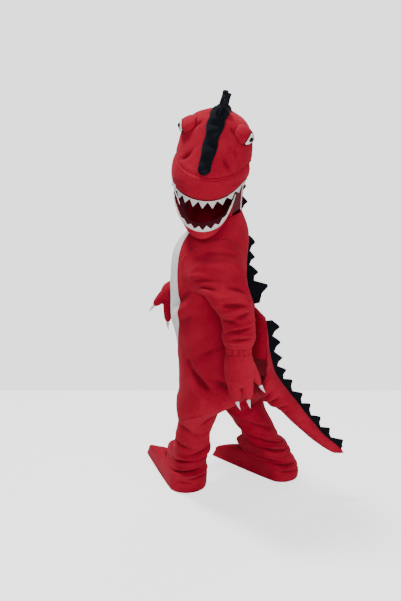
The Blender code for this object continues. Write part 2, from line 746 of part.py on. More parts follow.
def build_eyes(group):
    for name, side in (("left", 1), ("right", -1)):
        rows, middle = patch_rows(BROW, side, lambda p, a: LIFT + FLEECE + brow_height(p, a), PATCH_RINGS, 16)
        wall("brow_" + name, [(rows, True, middle)], RED, group, inside_out=side > 0)
        low = 2 * LIFT + FLEECE + EYE_THICK
        rows, middle = patch_rows(EYE, side, lambda p, a: low + brow_height(p, a), 3, 14)
        wall("eye_" + name, [(rows, True, middle)], WHITE, group, EYE_THICK, side > 0)
        high = low + LIFT + EYE_THICK
        rows, middle = patch_rows(PUPIL, side, lambda p, a: high + brow_height(p, a), 3, 12)
        wall("pupil_" + name, [(rows, True, middle)], BLACK, group, EYE_THICK, side > 0)


# Felt strips with spikes or teeth: a base line and a serrated edge
SPIKE = [
    # share of the way along, share of the height
    (0.00, 0.00),
    (0.22, 0.55),
    (0.40, 0.95),
    (0.46, 1.00),
    (0.53, 0.93),
    (0.70, 0.34),
]
TOOTH = [(0.00, 0.00), (0.24, 0.46), (0.50, 1.00), (0.76, 0.46)]


def serrated(spikes, profile):
    """Stations (place, height) along a strip, from a table of spikes: start, valley height, tip height."""
    stations = []
    for (start, valley, tip), (end, next_valley, _) in zip(spikes, spikes[1:]):
        for along, share in profile:
            floor = valley + (next_valley - valley) * along
            stations.append((start + (end - start) * along, floor + (tip - floor) * share))
    stations.append(spikes[-1][:2])
    return stations


def strip(name, stations, base, outward, colour, group, thickness=FELT):
    rows = [[base(place) for place, _ in stations],
            [base(place) + outward(place) * height for place, height in stations]]
    thing = wall(name, [(rows, False, None)], colour, group, thickness)
    thing.modifiers[0].offset = 0.0
    return thing


BACK_FIN = [
    # place (rows of the body's table), height of the valley, height of the tip
    (1.75, 0.006, 0.022),
    (2.55, 0.009, 0.026),
    (3.20, 0.011, 0.038),
    (4.00, 0.024, 0.060),
    (4.92, 0.020, 0.020),
]
TAIL_FIN_FIRST = (0.10, 0.018, 0.038)
TAIL_SPIKES = 10
TAIL_STRIP = 0.015
TAIL_SPIKE = 0.036
TAIL_FIN_END = 8.9
NECK_FIN = [(0.04, 0.012, 0.034), (0.28, 0.012, 0.034), (0.52, 0.010, 0.028), (0.76, 0.008, 0.022),
            (0.96, 0.006, 0.006)]
CREST_FIN = [(0.20, 0.014, 0.034), (0.33, 0.016, 0.042), (0.46, 0.018, 0.048), (0.59, 0.016, 0.044),
             (0.72, 0.014, 0.036), (0.85, 0.012, 0.030), (0.97, 0.010, 0.010)]
UPPER_TEETH = 12
LOWER_TEETH = 9


def tail_top(place, lift=0.0):
    y_top, z_top, y_low, z_low, _ = read_at(TAIL, place)
    up = Vector((0, y_top - y_low, z_top - z_low)).normalized()
    return Vector((TAIL_X, y_top, z_top)) + up * lift


def tail_out(place):
    before, after = tail_top(max(place - 0.1, 0)), tail_top(min(place + 0.1, len(TAIL) - 1))
    along = (after - before).normalized()
    return Vector((0, -along.z, along.y))


def tail_fin_table():
    lengths = [0.0]
    samples = np.linspace(TAIL_FIN_FIRST[0], TAIL_FIN_END, 120)
    for a, b in zip(samples, samples[1:]):
        lengths.append(lengths[-1] + (tail_top(b) - tail_top(a)).length)
    places = np.interp(np.linspace(0, lengths[-1], TAIL_SPIKES + 1), lengths, samples)
    table = [(place, TAIL_STRIP * (1 - 0.35 * i / TAIL_SPIKES), TAIL_SPIKE * (1 - 0.25 * i / TAIL_SPIKES))
             for i, place in enumerate(places)]
    table[0] = (places[0],) + TAIL_FIN_FIRST[1:]
    return table


def midline_point(share, lift=0.0, aside=0.0):
    """A point of the hood's middle line: share 0 at the snout seam, 1 at the nape seam."""
    front = [(row[2], row[0]) for row in HOOD[HOOD_SEAM_ROW::-1]]
    back = [(-row[3], row[1]) for row in HOOD[:HOOD_SEAM_ROW + 1]]
    line = front + [HOOD_POLE] + back
    place = share * (len(line) - 1)
    here = read_at(line, place)
    tangent = read_at(line, min(place + 0.05, len(line) - 1)) - read_at(line, max(place - 0.05, 0))
    outward = np.array([-tangent[1], tangent[0]]) / np.hypot(*tangent) * -1
    drop = aside ** 2 / (2 * 0.11)
    here = here + outward * (lift - drop)
    return head_point(here[0], aside, here[1])


def midline_out(share):
    return (midline_point(share, 0.01) - midline_point(share)).normalized()


CREST_HALF = 0.021
CREST_PAD = 0.006


def crest_rows():
    rows = []
    for share in np.linspace(0.02, 0.98, 15):
        row = []
        for across in np.linspace(-1, 1, 5):
            end = max(abs(share - 0.5) - 0.40, 0.0) / 0.10
            half = CREST_HALF * math.sqrt(max(1 - end ** 2, 0.08))
            pad = CREST_PAD * (1 - across ** 4)
            row.append(midline_point(share, LIFT + FLEECE + 0.0014 + pad, across * half))
        rows.append(row)
    return rows


def nape_route(share, lift=0.0):
    """The seam of spikes runs from the back of the head round to the middle of the back."""
    angle = math.pi + share * (math.radians(90 + HEAD_TURN[0]) - math.pi)
    return nape_point(share, angle, lift)


def nape_out(share):
    inside = head_point(0, 0, 0).lerp(Vector((0, 0.010, 0.027)), share)
    point = nape_route(share)
    return Vector((point.x - inside.x, point.y - inside.y, 0.0)).normalized()


def build_felt(group):
    up = head_axes(*HEAD_TURN)[2]
    corner = math.radians(MOUTH_CORNER - 3)

    def upper_base(angle):
        return lip_point(1.0, angle, -0.001) - up * 0.0006

    def lower_base(angle):
        return jaw_rim(angle, 0.001) + Vector((0, 0, 0.0024))

    def lower_out(angle):
        return (Vector((math.cos(angle), math.sin(angle), 0)) * 0.35 + Vector((0, 0, 1))).normalized()

    upper = [(a, 0.004, 0.013 + 0.010 * math.cos(a)) for a in np.linspace(-corner, corner, UPPER_TEETH + 1)]
    lower = [(a, 0.004, 0.011 + 0.006 * math.cos(a))
             for a in np.radians(np.linspace(6 - JAW_RIGHT, JAW_LEFT - 6, LOWER_TEETH + 1))]
    strip("upper_teeth", serrated(upper, TOOTH), upper_base, lambda angle: -up, WHITE, group, 0.0022)
    strip("lower_teeth", serrated(lower, TOOTH), lower_base, lower_out, WHITE, group, 0.0022)
    strip("back_fin", serrated(BACK_FIN, SPIKE), lambda p: body_point(p, math.pi / 2, 0.0010),
          lambda p: body_normal(p, math.pi / 2), BLACK, group)
    strip("tail_fin", serrated(tail_fin_table(), SPIKE), lambda p: tail_top(p, 0.0020), tail_out,
          BLACK, group)
    strip("neck_spikes", serrated(NECK_FIN, SPIKE), lambda p: nape_route(p, 0.0010), nape_out,
          BLACK, group)
    lift = LIFT + FLEECE + CREST_PAD + 0.0022
    strip("crest_spikes", serrated(CREST_FIN, SPIKE), lambda p: midline_point(p, lift), midline_out,
          BLACK, group)
    wall("crest_band", [(crest_rows(), False, None)], BLACK, group)


# Mouth lining: a shelf behind the lip and a shelf behind the jaw's rim, open to the head between them
PALATE_EDGE = (0.070, 0.080, -0.040)
THROAT_INSET = 0.0075
THROAT_SHY = 8               # degrees by which the lining ends before the jaw
THROAT_PLACES = (0.6, 1.0, 2.0, 3.0, 4.0, 4.8)
MOUTH_MIDDLE = (0.060, 0.0, -0.110)
LINING_THICK = 0.0015


def palate_rows():
    corner = math.radians(MOUTH_CORNER - 4)
    rows = []
    for share in np.linspace(0, 1, 4):
        row = []
        for angle in np.linspace(-corner, corner, 13):
            edge = lip_point(0.93, angle, -FLEECE - 0.0012)
            ahead, across, height = PALATE_EDGE
            inner = head_point(ahead * math.cos(angle), across * math.sin(angle), height)
            arch = head_axes(*HEAD_TURN)[2] * 0.012 * math.sin(math.pi * share)
            row.append(edge.lerp(inner, share) + arch)
        rows.append(row)
    return rows


def throat_rows():
    """The lining of the lower jaw: the jaw's own points moved towards the middle of the mouth."""
    middle = head_point(*MOUTH_MIDDLE)
    rows = []
    for place in THROAT_PLACES:
        row = []
        for angle in np.radians(np.linspace(THROAT_SHY - JAW_RIGHT, JAW_LEFT - THROAT_SHY, 13)):
            point = jaw_point(place, angle)
            row.append(point + (middle - point).normalized() * THROAT_INSET)
        rows.append(row)
    return rows


# Gloves: palm, two fingers and a thumb joined, then hollowed from the wrist; claws at the tips
GLOVE_COLUMNS = 10
GLOVE = {
    # distance out, y, z, swing down, bend forward (degrees), half front to back, half thickness
    "left": dict(
        palm=[
            (0.198, 0.0732, -0.3236, 90, 0, 0.0350, 0.0310),
            (0.198, 0.0740, -0.345, 90, 0, 0.0405, 0.0320),
            (0.198, 0.0755, -0.375, 90, 0, 0.0420, 0.0300),
            (0.198, 0.0770, -0.400, 90, -4, 0.0390, 0.0260),
            (0.198, 0.0790, -0.416, 90, -6, 0.0280, 0.0190),
            (0.198, 0.0800, -0.424, 90, -6, 0.0120, 0.0080),
        ],
        finger_front=[
            (0.198, 0.0580, -0.385, 90, -6, 0.0150, 0.0150),
            (0.198, 0.0600, -0.405, 90, -6, 0.0190, 0.0180),
            (0.198, 0.0630, -0.430, 90, -8, 0.0180, 0.0170),
            (0.198, 0.0675, -0.452, 90, -12, 0.0135, 0.0130),
            (0.198, 0.0700, -0.463, 90, -12, 0.0060, 0.0060),
        ],
        finger_back=[
            (0.198, 0.0940, -0.385, 90, -4, 0.0150, 0.0150),
            (0.198, 0.0960, -0.405, 90, -4, 0.0185, 0.0175),
            (0.198, 0.0985, -0.428, 90, -5, 0.0170, 0.0165),
            (0.198, 0.1010, -0.448, 90, -6, 0.0130, 0.0125),
            (0.198, 0.1020, -0.458, 90, -6, 0.0060, 0.0060),
        ],
        thumb=[
            (0.190, 0.0980, -0.345, 90, -22, 0.0120, 0.0120),
            (0.190, 0.1060, -0.362, 90, -22, 0.0150, 0.0145),
            (0.190, 0.1200, -0.390, 90, -24, 0.0130, 0.0125),
            (0.190, 0.1300, -0.410, 90, -26, 0.0090, 0.0090),
            (0.190, 0.1345, -0.419, 90, -26, 0.0040, 0.0040),
        ],
    ),
    "right": dict(
        palm=[
            (0.175, -0.1092, -0.2180, 90, 98, 0.0320, 0.0300),
            (0.174, -0.1230, -0.2200, 90, 92, 0.0335, 0.0310),
            (0.173, -0.1340, -0.2300, 90, 58, 0.0340, 0.0290),
            (0.172, -0.1390, -0.2470, 90, 32, 0.0290, 0.0230),
            (0.172, -0.1425, -0.2580, 90, 20, 0.0130, 0.0100),
        ],
        finger_front=[
            (0.172, -0.1340, -0.2180, 90, 45, 0.0140, 0.0150),
            (0.172, -0.1460, -0.2300, 90, 45, 0.0175, 0.0170),
            (0.172, -0.1620, -0.2470, 90, 45, 0.0165, 0.0160),
            (0.172, -0.1770, -0.2630, 90, 44, 0.0120, 0.0120),
            (0.172, -0.1850, -0.2710, 90, 44, 0.0055, 0.0055),
        ],
        finger_back=[
            (0.170, -0.1360, -0.2420, 90, 6, 0.0140, 0.0150),
            (0.170, -0.1370, -0.2600, 90, 5, 0.0175, 0.0170),
            (0.170, -0.1385, -0.2870, 90, 4, 0.0165, 0.0160),
            (0.170, -0.1400, -0.3130, 90, 3, 0.0120, 0.0120),
            (0.170, -0.1405, -0.3260, 90, 3, 0.0055, 0.0055),
        ],
        thumb=[
            (0.182, -0.1310, -0.2350, 90, -8, 0.0110, 0.0110),
            (0.183, -0.1290, -0.2520, 90, -10, 0.0135, 0.0130),
            (0.184, -0.1250, -0.2740, 90, -12, 0.0115, 0.0110),
            (0.184, -0.1220, -0.2900, 90, -12, 0.0050, 0.0050),
        ],
    ),
}
CLAW_LENGTH = 0.026
CLAW_RADIUS = 0.0058
CLAW_GAP = 0.0004


def solid_tube(name, rings, first, last, group):
    """A closed solid through rings, pointed at both ends; first and last are its end points."""
    mesh = bpy.data.meshes.new(name)
    bm = bmesh.new()
    verts = [[bm.verts.new(point) for point in ring] for ring in rings]
    count = len(rings[0])
    for low, high in zip(verts, verts[1:]):
        for i in range(count):
            j = (i + 1) % count
            bm.faces.new((low[i], low[j], high[j], high[i]))
    for ring, point in ((verts[0], first), (verts[-1], last)):
        end = bm.verts.new(point)
        for i in range(count):
            bm.faces.new((ring[i], ring[(i + 1) % count], end))
    bmesh.ops.recalc_face_normals(bm, faces=bm.faces)
    bm.to_mesh(mesh)
    bm.free()
    thing = bpy.data.objects.new(name, mesh)
    group.objects.link(thing)
    return thing


def middle_of(ring):
    return sum(ring, Vector()) / len(ring)


def limb(name, table, side, shrink, start, group):
    """Palm or finger as a closed solid; shrink sets it in, start moves its first ring back."""
    rows = [list(row) for row in table]
    for row in rows:
        row[5] = max(row[5] - shrink, 0.0012)
        row[6] = max(row[6] - shrink, 0.0012)
    rings = [arm_ring(row, side, GLOVE_COLUMNS) for row in rows]
    if start:
        rings[0] = arm_ring(rows[0], side, GLOVE_COLUMNS, ahead=-start)
    end = rows[-1]
    along = arm_axes(end[3], end[4], side)[0]
    tip = middle_of(rings[-1]) + along * (0.35 * (end[5] + shrink) - shrink * 0.5)
    return solid_tube(name, rings, middle_of(rings[0]), tip, group)


def build_glove(name, side, group, cutters):
    table = GLOVE[name]
    glove = limb("glove_" + name, table["palm"], side, 0.0, 0.0, group)
    glove.data.materials.append(finish("glove_" + name, RED))
    glove.data.shade_smooth()
    fingers = ("finger_front", "finger_back", "thumb")
    for finger in fingers:
        outer = limb("outer_%s_%s" % (finger, name), table[finger], side, 0.0, 0.0, cutters)
        hide_cutter(outer)
        cut(glove, outer, "UNION")
    hollow = limb("inner_palm_" + name, table["palm"], side, FLEECE, 0.010, cutters)
    hide_cutter(hollow)
    cut(glove, hollow)
    for finger in fingers:
        inner = limb("inner_%s_%s" % (finger, name), table[finger], side, FLEECE, 0.0, cutters)
        hide_cutter(inner)
        cut(glove, inner)
    for number, finger in enumerate(fingers, 1):
        end = table[finger][-1]
        along, back, _ = arm_axes(end[3], end[4], side)
        centre = Vector((side * end[0], end[1], end[2])) + along * (0.35 * end[5] + CLAW_GAP)
        rings = []
        for share in (0.0, 0.45, 0.85):
            radius = CLAW_RADIUS * (1 - share) ** 0.8
            place = centre + along * CLAW_LENGTH * share + back * 0.004 * share ** 2
            rings.append([place + (back * math.cos(turn) + Vector((side, 0, 0)) * math.sin(turn)) * radius
                          for turn in turns(7)])
        tip = centre + along * CLAW_LENGTH + back * 0.004
        claw = solid_tube("claw_%s_%d" % (name, number), rings, centre, tip, group)
        claw.data.materials.append(finish(claw.name, WHITE))
        claw.data.shade_smooth()


def belly_rows():
    """The front panel down to its point; its last rows end before the red halves meet."""
    places = [place for place in np.linspace(0, len(BODY) - 1, BODY_ROWS) if place <= BELLY_LAST]
    rows = []
    for place in places:
        half = belly_edge(place) - seam_angle(place)
        rows.append([body_point(place, -math.pi / 2 + half * share)
                     for share in np.linspace(-1, 1, BELLY_COLUMNS)])
    return rows, body_point(BELLY_TIP, -math.pi / 2)


def build_body(group, cutters):
    for name, side in (("left", 1), ("right", -1)):
        grids = [(body_rows(side), False, None), (leg_rows(name, side), True, None)]
        half = wall("body_" + name, grids, RED, group, inside_out=side > 0)
        plug = armhole_cutter("armhole_" + name, side, cutters)
        cut(half, plug)
        wall("foot_cover_" + name, [(foot_rows(name, side), True, None)], RED, group, inside_out=side > 0)
        wall("sleeve_" + name, [(sleeve_rows(name, side), True, None)], RED, group, inside_out=side < 0)
        wall("cuff_" + name, [(cuff_rows(name, side), True, None)], RED, group, inside_out=side < 0)
        build_glove(name, side, group, cutters)
    rows, tip = belly_rows()
    wall("belly_panel", [(rows, False, tip)], WHITE, group, inside_out=True)
    tip = Vector((TAIL_X, *TAIL_TIP))
    wall("tail", [(tail_rows(), True, tip)], RED, group, inside_out=True)


def build_hood(group):
    pole = head_point(HOOD_POLE[0], 0, HOOD_POLE[1])
    wall("hood_crown", [(crown_rows(), True, pole)], RED, group)
    wall("lip_band", [(lip_rows(), False, None)], RED, group, inside_out=True)
    wall("nape", [(nape_rows(), False, None)], RED, group, inside_out=True)
    wall("lower_jaw", [(jaw_rows(), False, None)], RED, group, even=False)
    wall("palate_lining", [(palate_rows(), False, None)], LINING, group, LINING_THICK)
    wall("throat_lining", [(throat_rows(), False, None)], LINING, group, LINING_THICK, even=False)
    build_eyes(group)
    build_felt(group)


def main():
    clear_scene()
    group = collection(COLLECTION)
    cutters = collection(CUTTERS)
    build_body(group, cutters)
    build_hood(group)


main()
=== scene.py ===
import math
import bmesh
import bpy
import numpy as np
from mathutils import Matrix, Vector, noise
from mathutils.bvhtree import BVHTree
from mathutils.kdtree import KDTree


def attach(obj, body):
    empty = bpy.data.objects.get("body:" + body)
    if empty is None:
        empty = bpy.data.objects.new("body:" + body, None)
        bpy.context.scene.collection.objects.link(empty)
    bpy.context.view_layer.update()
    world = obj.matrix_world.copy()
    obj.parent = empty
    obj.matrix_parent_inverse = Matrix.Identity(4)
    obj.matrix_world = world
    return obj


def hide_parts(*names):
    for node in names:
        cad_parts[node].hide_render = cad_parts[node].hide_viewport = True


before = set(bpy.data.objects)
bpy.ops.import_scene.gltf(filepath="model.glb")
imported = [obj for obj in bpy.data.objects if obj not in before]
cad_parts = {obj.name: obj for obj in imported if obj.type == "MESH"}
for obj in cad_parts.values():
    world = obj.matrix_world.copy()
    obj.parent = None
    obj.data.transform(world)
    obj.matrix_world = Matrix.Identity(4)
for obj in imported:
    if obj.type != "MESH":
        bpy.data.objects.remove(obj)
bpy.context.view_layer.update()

# T-rex costume in red fleece and felt. Metres, +Z up, the front faces -Y, the wearer's left is +X.
seamGap = 0.0003      # between neighbouring pieces
fleeceThick = 0.0018
feltThick = 0.0030
floorHeight = -0.830
detail = 1.0      # share of the rows and columns that are built


def count(number):
    return max(int(round(number * detail)), 4)


# Materials: shader groups that several cloths share, then one material for each cloth

def socketsOf(group, inputs, outputs):
    for name, kind, value in inputs:
        socket = group.interface.new_socket(name=name, in_out="INPUT", socket_type=kind)
        socket.default_value = value
    for name, kind in outputs:
        group.interface.new_socket(name=name, in_out="OUTPUT", socket_type=kind)


def addNode(tree, kind, place, **values):
    node = tree.nodes.new(kind)
    node.location = place
    for name, value in values.items():
        setattr(node, name, value)
    return node


def join(tree, joins):
    # Each join: a node and its output, then the node and input that it feeds
    for source, output, target, socket in joins:
        tree.links.new(source.outputs[output], target.inputs[socket])


def preset(node, values):
    for name, value in values.items():
        node.inputs[name].default_value = value


def napGroup():
    # Short pile: fibres, clumps of fibres and broad patches, as masks and a normal
    group = bpy.data.node_groups.new("clothNap", "ShaderNodeTree")
    socketsOf(group, [("Fibre Scale", "NodeSocketFloat", 900.0), ("Clump Scale", "NodeSocketFloat", 240.0),
                      ("Patch Scale", "NodeSocketFloat", 12.0), ("Depth", "NodeSocketFloat", 0.4)],
              [("Mottle", "NodeSocketFloat"), ("Patch", "NodeSocketFloat"), ("Normal", "NodeSocketVector")])
    start = addNode(group, "NodeGroupInput", (-900, 0))
    end = addNode(group, "NodeGroupOutput", (500, 0))
    place = addNode(group, "ShaderNodeTexCoord", (-900, -300))
    link = group.links.new
    layers = {}
    rough = {"Fibre Scale": 0.7, "Clump Scale": 0.6, "Patch Scale": 0.5}
    for row, (name, roughness) in enumerate(rough.items()):
        layer = addNode(group, "ShaderNodeTexNoise", (-600, 200 - 200 * row))
        preset(layer, {"Detail": 3.0, "Roughness": roughness})
        link(place.outputs["Object"], layer.inputs["Vector"])
        link(start.outputs[name], layer.inputs["Scale"])
        layers[name] = layer.outputs["Fac"]
    mottle = addNode(group, "ShaderNodeMath", (-300, 100), operation="MULTIPLY_ADD")
    mottle.inputs[1].default_value = 0.45
    link(layers["Fibre Scale"], mottle.inputs[0])
    clump = addNode(group, "ShaderNodeMath", (-450, -60), operation="MULTIPLY")
    clump.inputs[1].default_value = 0.55
    link(layers["Clump Scale"], clump.inputs[0])
    link(clump.outputs[0], mottle.inputs[2])
    bump = addNode(group, "ShaderNodeBump", (100, -100))
    bump.inputs["Distance"].default_value = 0.0012
    join(group, [
        (mottle, 0, bump, "Height"), (start, "Depth", bump, "Strength"), (mottle, 0, end, "Mottle"),
    ])
    link(layers["Patch Scale"], end.inputs["Patch"])
    link(bump.outputs["Normal"], end.inputs["Normal"])
    return group


clothNap = napGroup()


def clothMaterial(name, look):
    # look: dark, plain and light colours, pile scales and depth, strength of the painted crease shade,
    # roughness and sheen
    material = bpy.data.materials.new(name)
    material.use_nodes = True
    tree = material.node_tree
    link = tree.links.new
    shader = tree.nodes["Principled BSDF"]
    nap = addNode(tree, "ShaderNodeGroup", (-900, -200), node_tree=clothNap)
    preset(nap, {"Fibre Scale": look["fibre"], "Clump Scale": look["clump"], "Patch Scale": look["patch"],
                 "Depth": look["depth"]})
    # Painted shade: a point attribute that is high in the bottom of creases
    creaseShade = addNode(tree, "ShaderNodeAttribute", (-900, 200), attribute_name="creaseShade")
    mottled = addNode(tree, "ShaderNodeMapRange", (-650, 0))
    preset(mottled, {"From Min": 0.35, "From Max": 0.65})
    link(nap.outputs["Mottle"], mottled.inputs["Value"])
    base = addNode(tree, "ShaderNodeMix", (-400, 100), data_type="RGBA")
    preset(base, {"A": (*look["dark"], 1), "B": (*look["plain"], 1)})
    mixer = addNode(tree, "ShaderNodeMath", (-520, -60), operation="MULTIPLY_ADD")
    mixer.inputs[1].default_value = look["mottle"]
    mixer.inputs[2].default_value = 1.0 - look["mottle"]
    link(mottled.outputs["Result"], mixer.inputs[0])
    link(mixer.outputs[0], base.inputs["Factor"])
    patched = addNode(tree, "ShaderNodeMix", (-200, 100), data_type="RGBA")
    preset(patched, {"B": (*look["light"], 1)})
    patchMask = addNode(tree, "ShaderNodeMapRange", (-400, -250))
    preset(patchMask, {"From Min": 0.45, "From Max": 0.75, "To Max": look["patches"]})
    join(tree, [
        (nap, "Patch", patchMask, "Value"), (patchMask, "Result", patched, "Factor"),
        (base, "Result", patched, "A"),
    ])
    # Painted shade in creases: the colour goes towards a darker copy of the dark colour where the cloth dips
    creaseShaded = addNode(tree, "ShaderNodeMix", (0, 100), data_type="RGBA")
    preset(creaseShaded, {"B": (*[c * 0.55 for c in look["dark"]], 1)})
    creaseShadeMask = addNode(tree, "ShaderNodeMapRange", (-200, 300))
    preset(creaseShadeMask, {"From Min": 0.0, "From Max": 1.0, "To Max": look["shade"]})
    join(tree, [
        (creaseShade, "Fac", creaseShadeMask, "Value"), (creaseShadeMask, "Result", creaseShaded, "Factor"),
        (patched, "Result", creaseShaded, "A"), (creaseShaded, "Result", shader, "Base Color"),
        (nap, "Normal", shader, "Normal"),
    ])
    preset(shader, {"Roughness": look["roughness"], "Specular IOR Level": look["specular"],
                    "Sheen Weight": look["sheen"], "Sheen Roughness": 0.45,
                    "Sheen Tint": (*look["sheenTint"], 1)})
    return material


# shade: how strongly each cloth's creases are darkened with painted shade
looks = {
    "redFleece": dict(dark=(0.170, 0.0025, 0.010), plain=(0.380, 0.0070, 0.026), light=(0.470, 0.014, 0.038),
                      fibre=950, clump=260, patch=11, depth=0.45, mottle=0.55, patches=0.6, shade=0.65,
                      roughness=0.95, specular=0.10, sheen=0.16, sheenTint=(1.0, 0.20, 0.28)),
    "whiteFelt": dict(dark=(0.62, 0.58, 0.57), plain=(0.84, 0.81, 0.80), light=(0.90, 0.88, 0.87),
                      fibre=1300, clump=420, patch=20, depth=0.30, mottle=0.5, patches=0.4, shade=0.35,
                      roughness=0.95, specular=0.15, sheen=0.15, sheenTint=(1.0, 1.0, 1.0)),
    "blackFelt": dict(dark=(0.0015, 0.0020, 0.0035), plain=(0.0045, 0.0060, 0.0095),
                      light=(0.009, 0.011, 0.016),
                      fibre=1300, clump=420, patch=25, depth=0.35, mottle=0.6, patches=0.5, shade=0.4,
                      roughness=0.94, specular=0.10, sheen=0.02, sheenTint=(0.7, 0.8, 1.0)),
    # The mouth lining is the same red fleece as the hood; its darker colours are painted shade inside the
    # mouth
    "shadedRedLining": dict(dark=(0.040, 0.0010, 0.005), plain=(0.095, 0.0022, 0.011),
                          light=(0.13, 0.004, 0.016),
                          fibre=1600, clump=500, patch=18, depth=0.15, mottle=0.35, patches=0.5, shade=0.6,
                          roughness=0.7, specular=0.3, sheen=0.1, sheenTint=(1.0, 0.4, 0.5)),
}
looks["redThread"] = dict(looks["redFleece"], dark=(0.130, 0.002, 0.007), plain=(0.240, 0.004, 0.014),
                          light=(0.290, 0.006, 0.018), sheen=0.05)
materials = {name: clothMaterial(name, look) for name, look in looks.items()}
print("materials ready")


# Cloth pieces

def surfaceOf(name, grids):
    # One open surface from grids of points (rows, closed, pole), joined where their points meet
    mesh = bpy.data.meshes.new(name)
    bm = bmesh.new()
    for rows, closed, pole in grids:
        verts = [[bm.verts.new(point) for point in row] for row in rows]
        columns = len(rows[0])
        for low, high in zip(verts, verts[1:]):
            for i in range(columns if closed else columns - 1):
                j = (i + 1) % columns
                bm.faces.new((low[i], low[j], high[j], high[i]))
        if pole is not None:
            tip = bm.verts.new(pole)
            last = verts[-1]
            for i in range(columns if closed else columns - 1):
                bm.faces.new((last[i], last[(i + 1) % columns], tip))
    bmesh.ops.remove_doubles(bm, verts=bm.verts, dist=0.00003)
    bm.to_mesh(mesh)
    bm.free()
    return mesh


fineRumple = dict(scale=2.7, share=0.4)       # smaller waves on the broad ones


def rumple(mesh, roll, rollWidth, amount, scale):
    # Edges turn in at the seams, and the cloth is never quite even
    bm = bmesh.new()
    bm.from_mesh(mesh)
    bm.normal_update()
    rim = [v.co.copy() for v in bm.verts if v.is_boundary]
    tree = KDTree(max(len(rim), 1))
    for i, co in enumerate(rim):
        tree.insert(co, i)
    tree.balance()
    moves = []
    for v in bm.verts:
        fine = noise.noise(v.co * scale * fineRumple["scale"]) * amount * fineRumple["share"]
        wave = noise.noise(v.co * scale) * amount + fine
        turnIn = 0.0
        fade = 1.0
        if rim:
            away = tree.find(v.co)[2]
            turnIn = roll * math.exp(-(away / rollWidth) ** 2)
            fade = 1 - math.exp(-(away / (2 * rollWidth)) ** 2)
        moves.append(v.normal * (wave * fade - turnIn))
    for v, move in zip(bm.verts, moves):
        v.co += move
    bm.to_mesh(mesh)
    bm.free()


# Painted crease shade: settings of the mask that darkens the cloth's colour in creases
creaseShadeMark = dict(smoothing=14, evening=3, full=0.0016)      # full: depth of the darkest crease


def markCreaseShade(mesh):
    # Point attribute for the painted crease shade: 0 on open cloth, towards 1 in the bottom of a crease
    total = len(mesh.vertices)
    points = np.empty(total * 3)
    mesh.vertices.foreach_get("co", points)
    points = points.reshape(-1, 3)
    normals = np.empty(total * 3)
    mesh.vertices.foreach_get("normal", normals)
    normals = normals.reshape(-1, 3)
    edges = np.empty(len(mesh.edges) * 2, dtype=np.int64)
    mesh.edges.foreach_get("vertices", edges)
    edges = edges.reshape(-1, 2)
    degree = np.bincount(edges.ravel(), minlength=total).astype(float)
    degree[degree == 0] = 1

    def around(values):
        out = np.zeros_like(values)
        np.add.at(out, edges[:, 0], values[edges[:, 1]])
        np.add.at(out, edges[:, 1], values[edges[:, 0]])
        return out / (degree[:, None] if values.ndim == 2 else degree)
    smooth = points.copy()
    for _ in range(creaseShadeMark["smoothing"]):
        smooth = around(smooth)
    depth = ((smooth - points) * normals).sum(axis=1)
    for _ in range(creaseShadeMark["evening"]):
        depth = 0.5 * depth + 0.5 * around(depth)
    mask = np.clip(depth / creaseShadeMark["full"], 0, 1)
    attribute = mesh.attributes.new("creaseShade", "FLOAT", "POINT")
    attribute.data.foreach_set("value", mask.astype(np.float32))


def plainMesh(piece):
    # The piece's evaluated form becomes its mesh, and its modifiers go
    graph = bpy.context.evaluated_depsgraph_get()
    made = bpy.data.meshes.new_from_object(piece.evaluated_get(graph))
    old = piece.data
    piece.modifiers.clear()
    piece.data = made
    bpy.data.meshes.remove(old)
    made.name = piece.name


def register(piece, cloth, nodes):
    piece.data.materials.clear()
    piece.data.materials.append(materials[cloth])
    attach(piece, "root")
    if nodes:
        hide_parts(*nodes)


def newPiece(name, mesh):
    piece = bpy.data.objects.new(name, mesh)
    bpy.context.scene.collection.objects.link(piece)
    return piece


def clothPiece(name, grids, cloth, nodes, thickness=fleeceThick, insideOut=False, even=True, middle=False,
               roll=0.0006, rollWidth=0.0040, amount=0.0014, scale=17.0, plug=None):
    mesh = surfaceOf(name, grids)
    if insideOut:
        mesh.flip_normals()
    rumple(mesh, roll, rollWidth, amount, scale)
    markCreaseShade(mesh)
    piece = newPiece(name, mesh)
    wall = piece.modifiers.new("thickness", "SOLIDIFY")
    wall.thickness = thickness
    wall.offset = 0.0 if middle else -1.0
    wall.use_rim = True
    wall.use_even_offset = even
    if plug is not None:
        hole = piece.modifiers.new("hole", "BOOLEAN")
        hole.operation = "DIFFERENCE"
        hole.solver = "EXACT"
        hole.object = plug
    plainMesh(piece)
    piece.data.shade_smooth()
    register(piece, cloth, nodes)
    return piece


# Curves through short tables

def readAt(table, place):
    # One row of the smooth curve through the rows of a table, at a place counted in rows
    rows = np.array(table, dtype=float)
    padded = np.vstack([2 * rows[0] - rows[1], rows, 2 * rows[-1] - rows[-2]])
    place = min(max(place, 0.0), len(rows) - 1.0)
    first = min(int(place), len(rows) - 2)
    u = place - first
    a, b, c, d = padded[first:first + 4]
    return 0.5 * (2 * b + (c - a) * u + (2 * a - 5 * b + 4 * c - d) * u ** 2
                  + (3 * b - a - 3 * c + d) * u ** 3)


def spread(table, rowCount):
    # Rows read evenly from the same curve
    return np.array([readAt(table, place) for place in np.linspace(0, len(table) - 1, rowCount)])


foldDepth = 1.5


def crease(along, around, folds):
    # Height of the cloth over its plain form: soft ridges (+) and troughs (-) from a table of folds
    height = 0.0
    for centre, angle, slant, width, reach, depth in folds:
        turn = math.remainder(around - angle, 2 * math.pi)
        off = (along - centre - slant * turn) / width
        height += foldDepth * depth * math.exp(-off * off) * math.exp(-(turn / reach) ** 2)
    return height


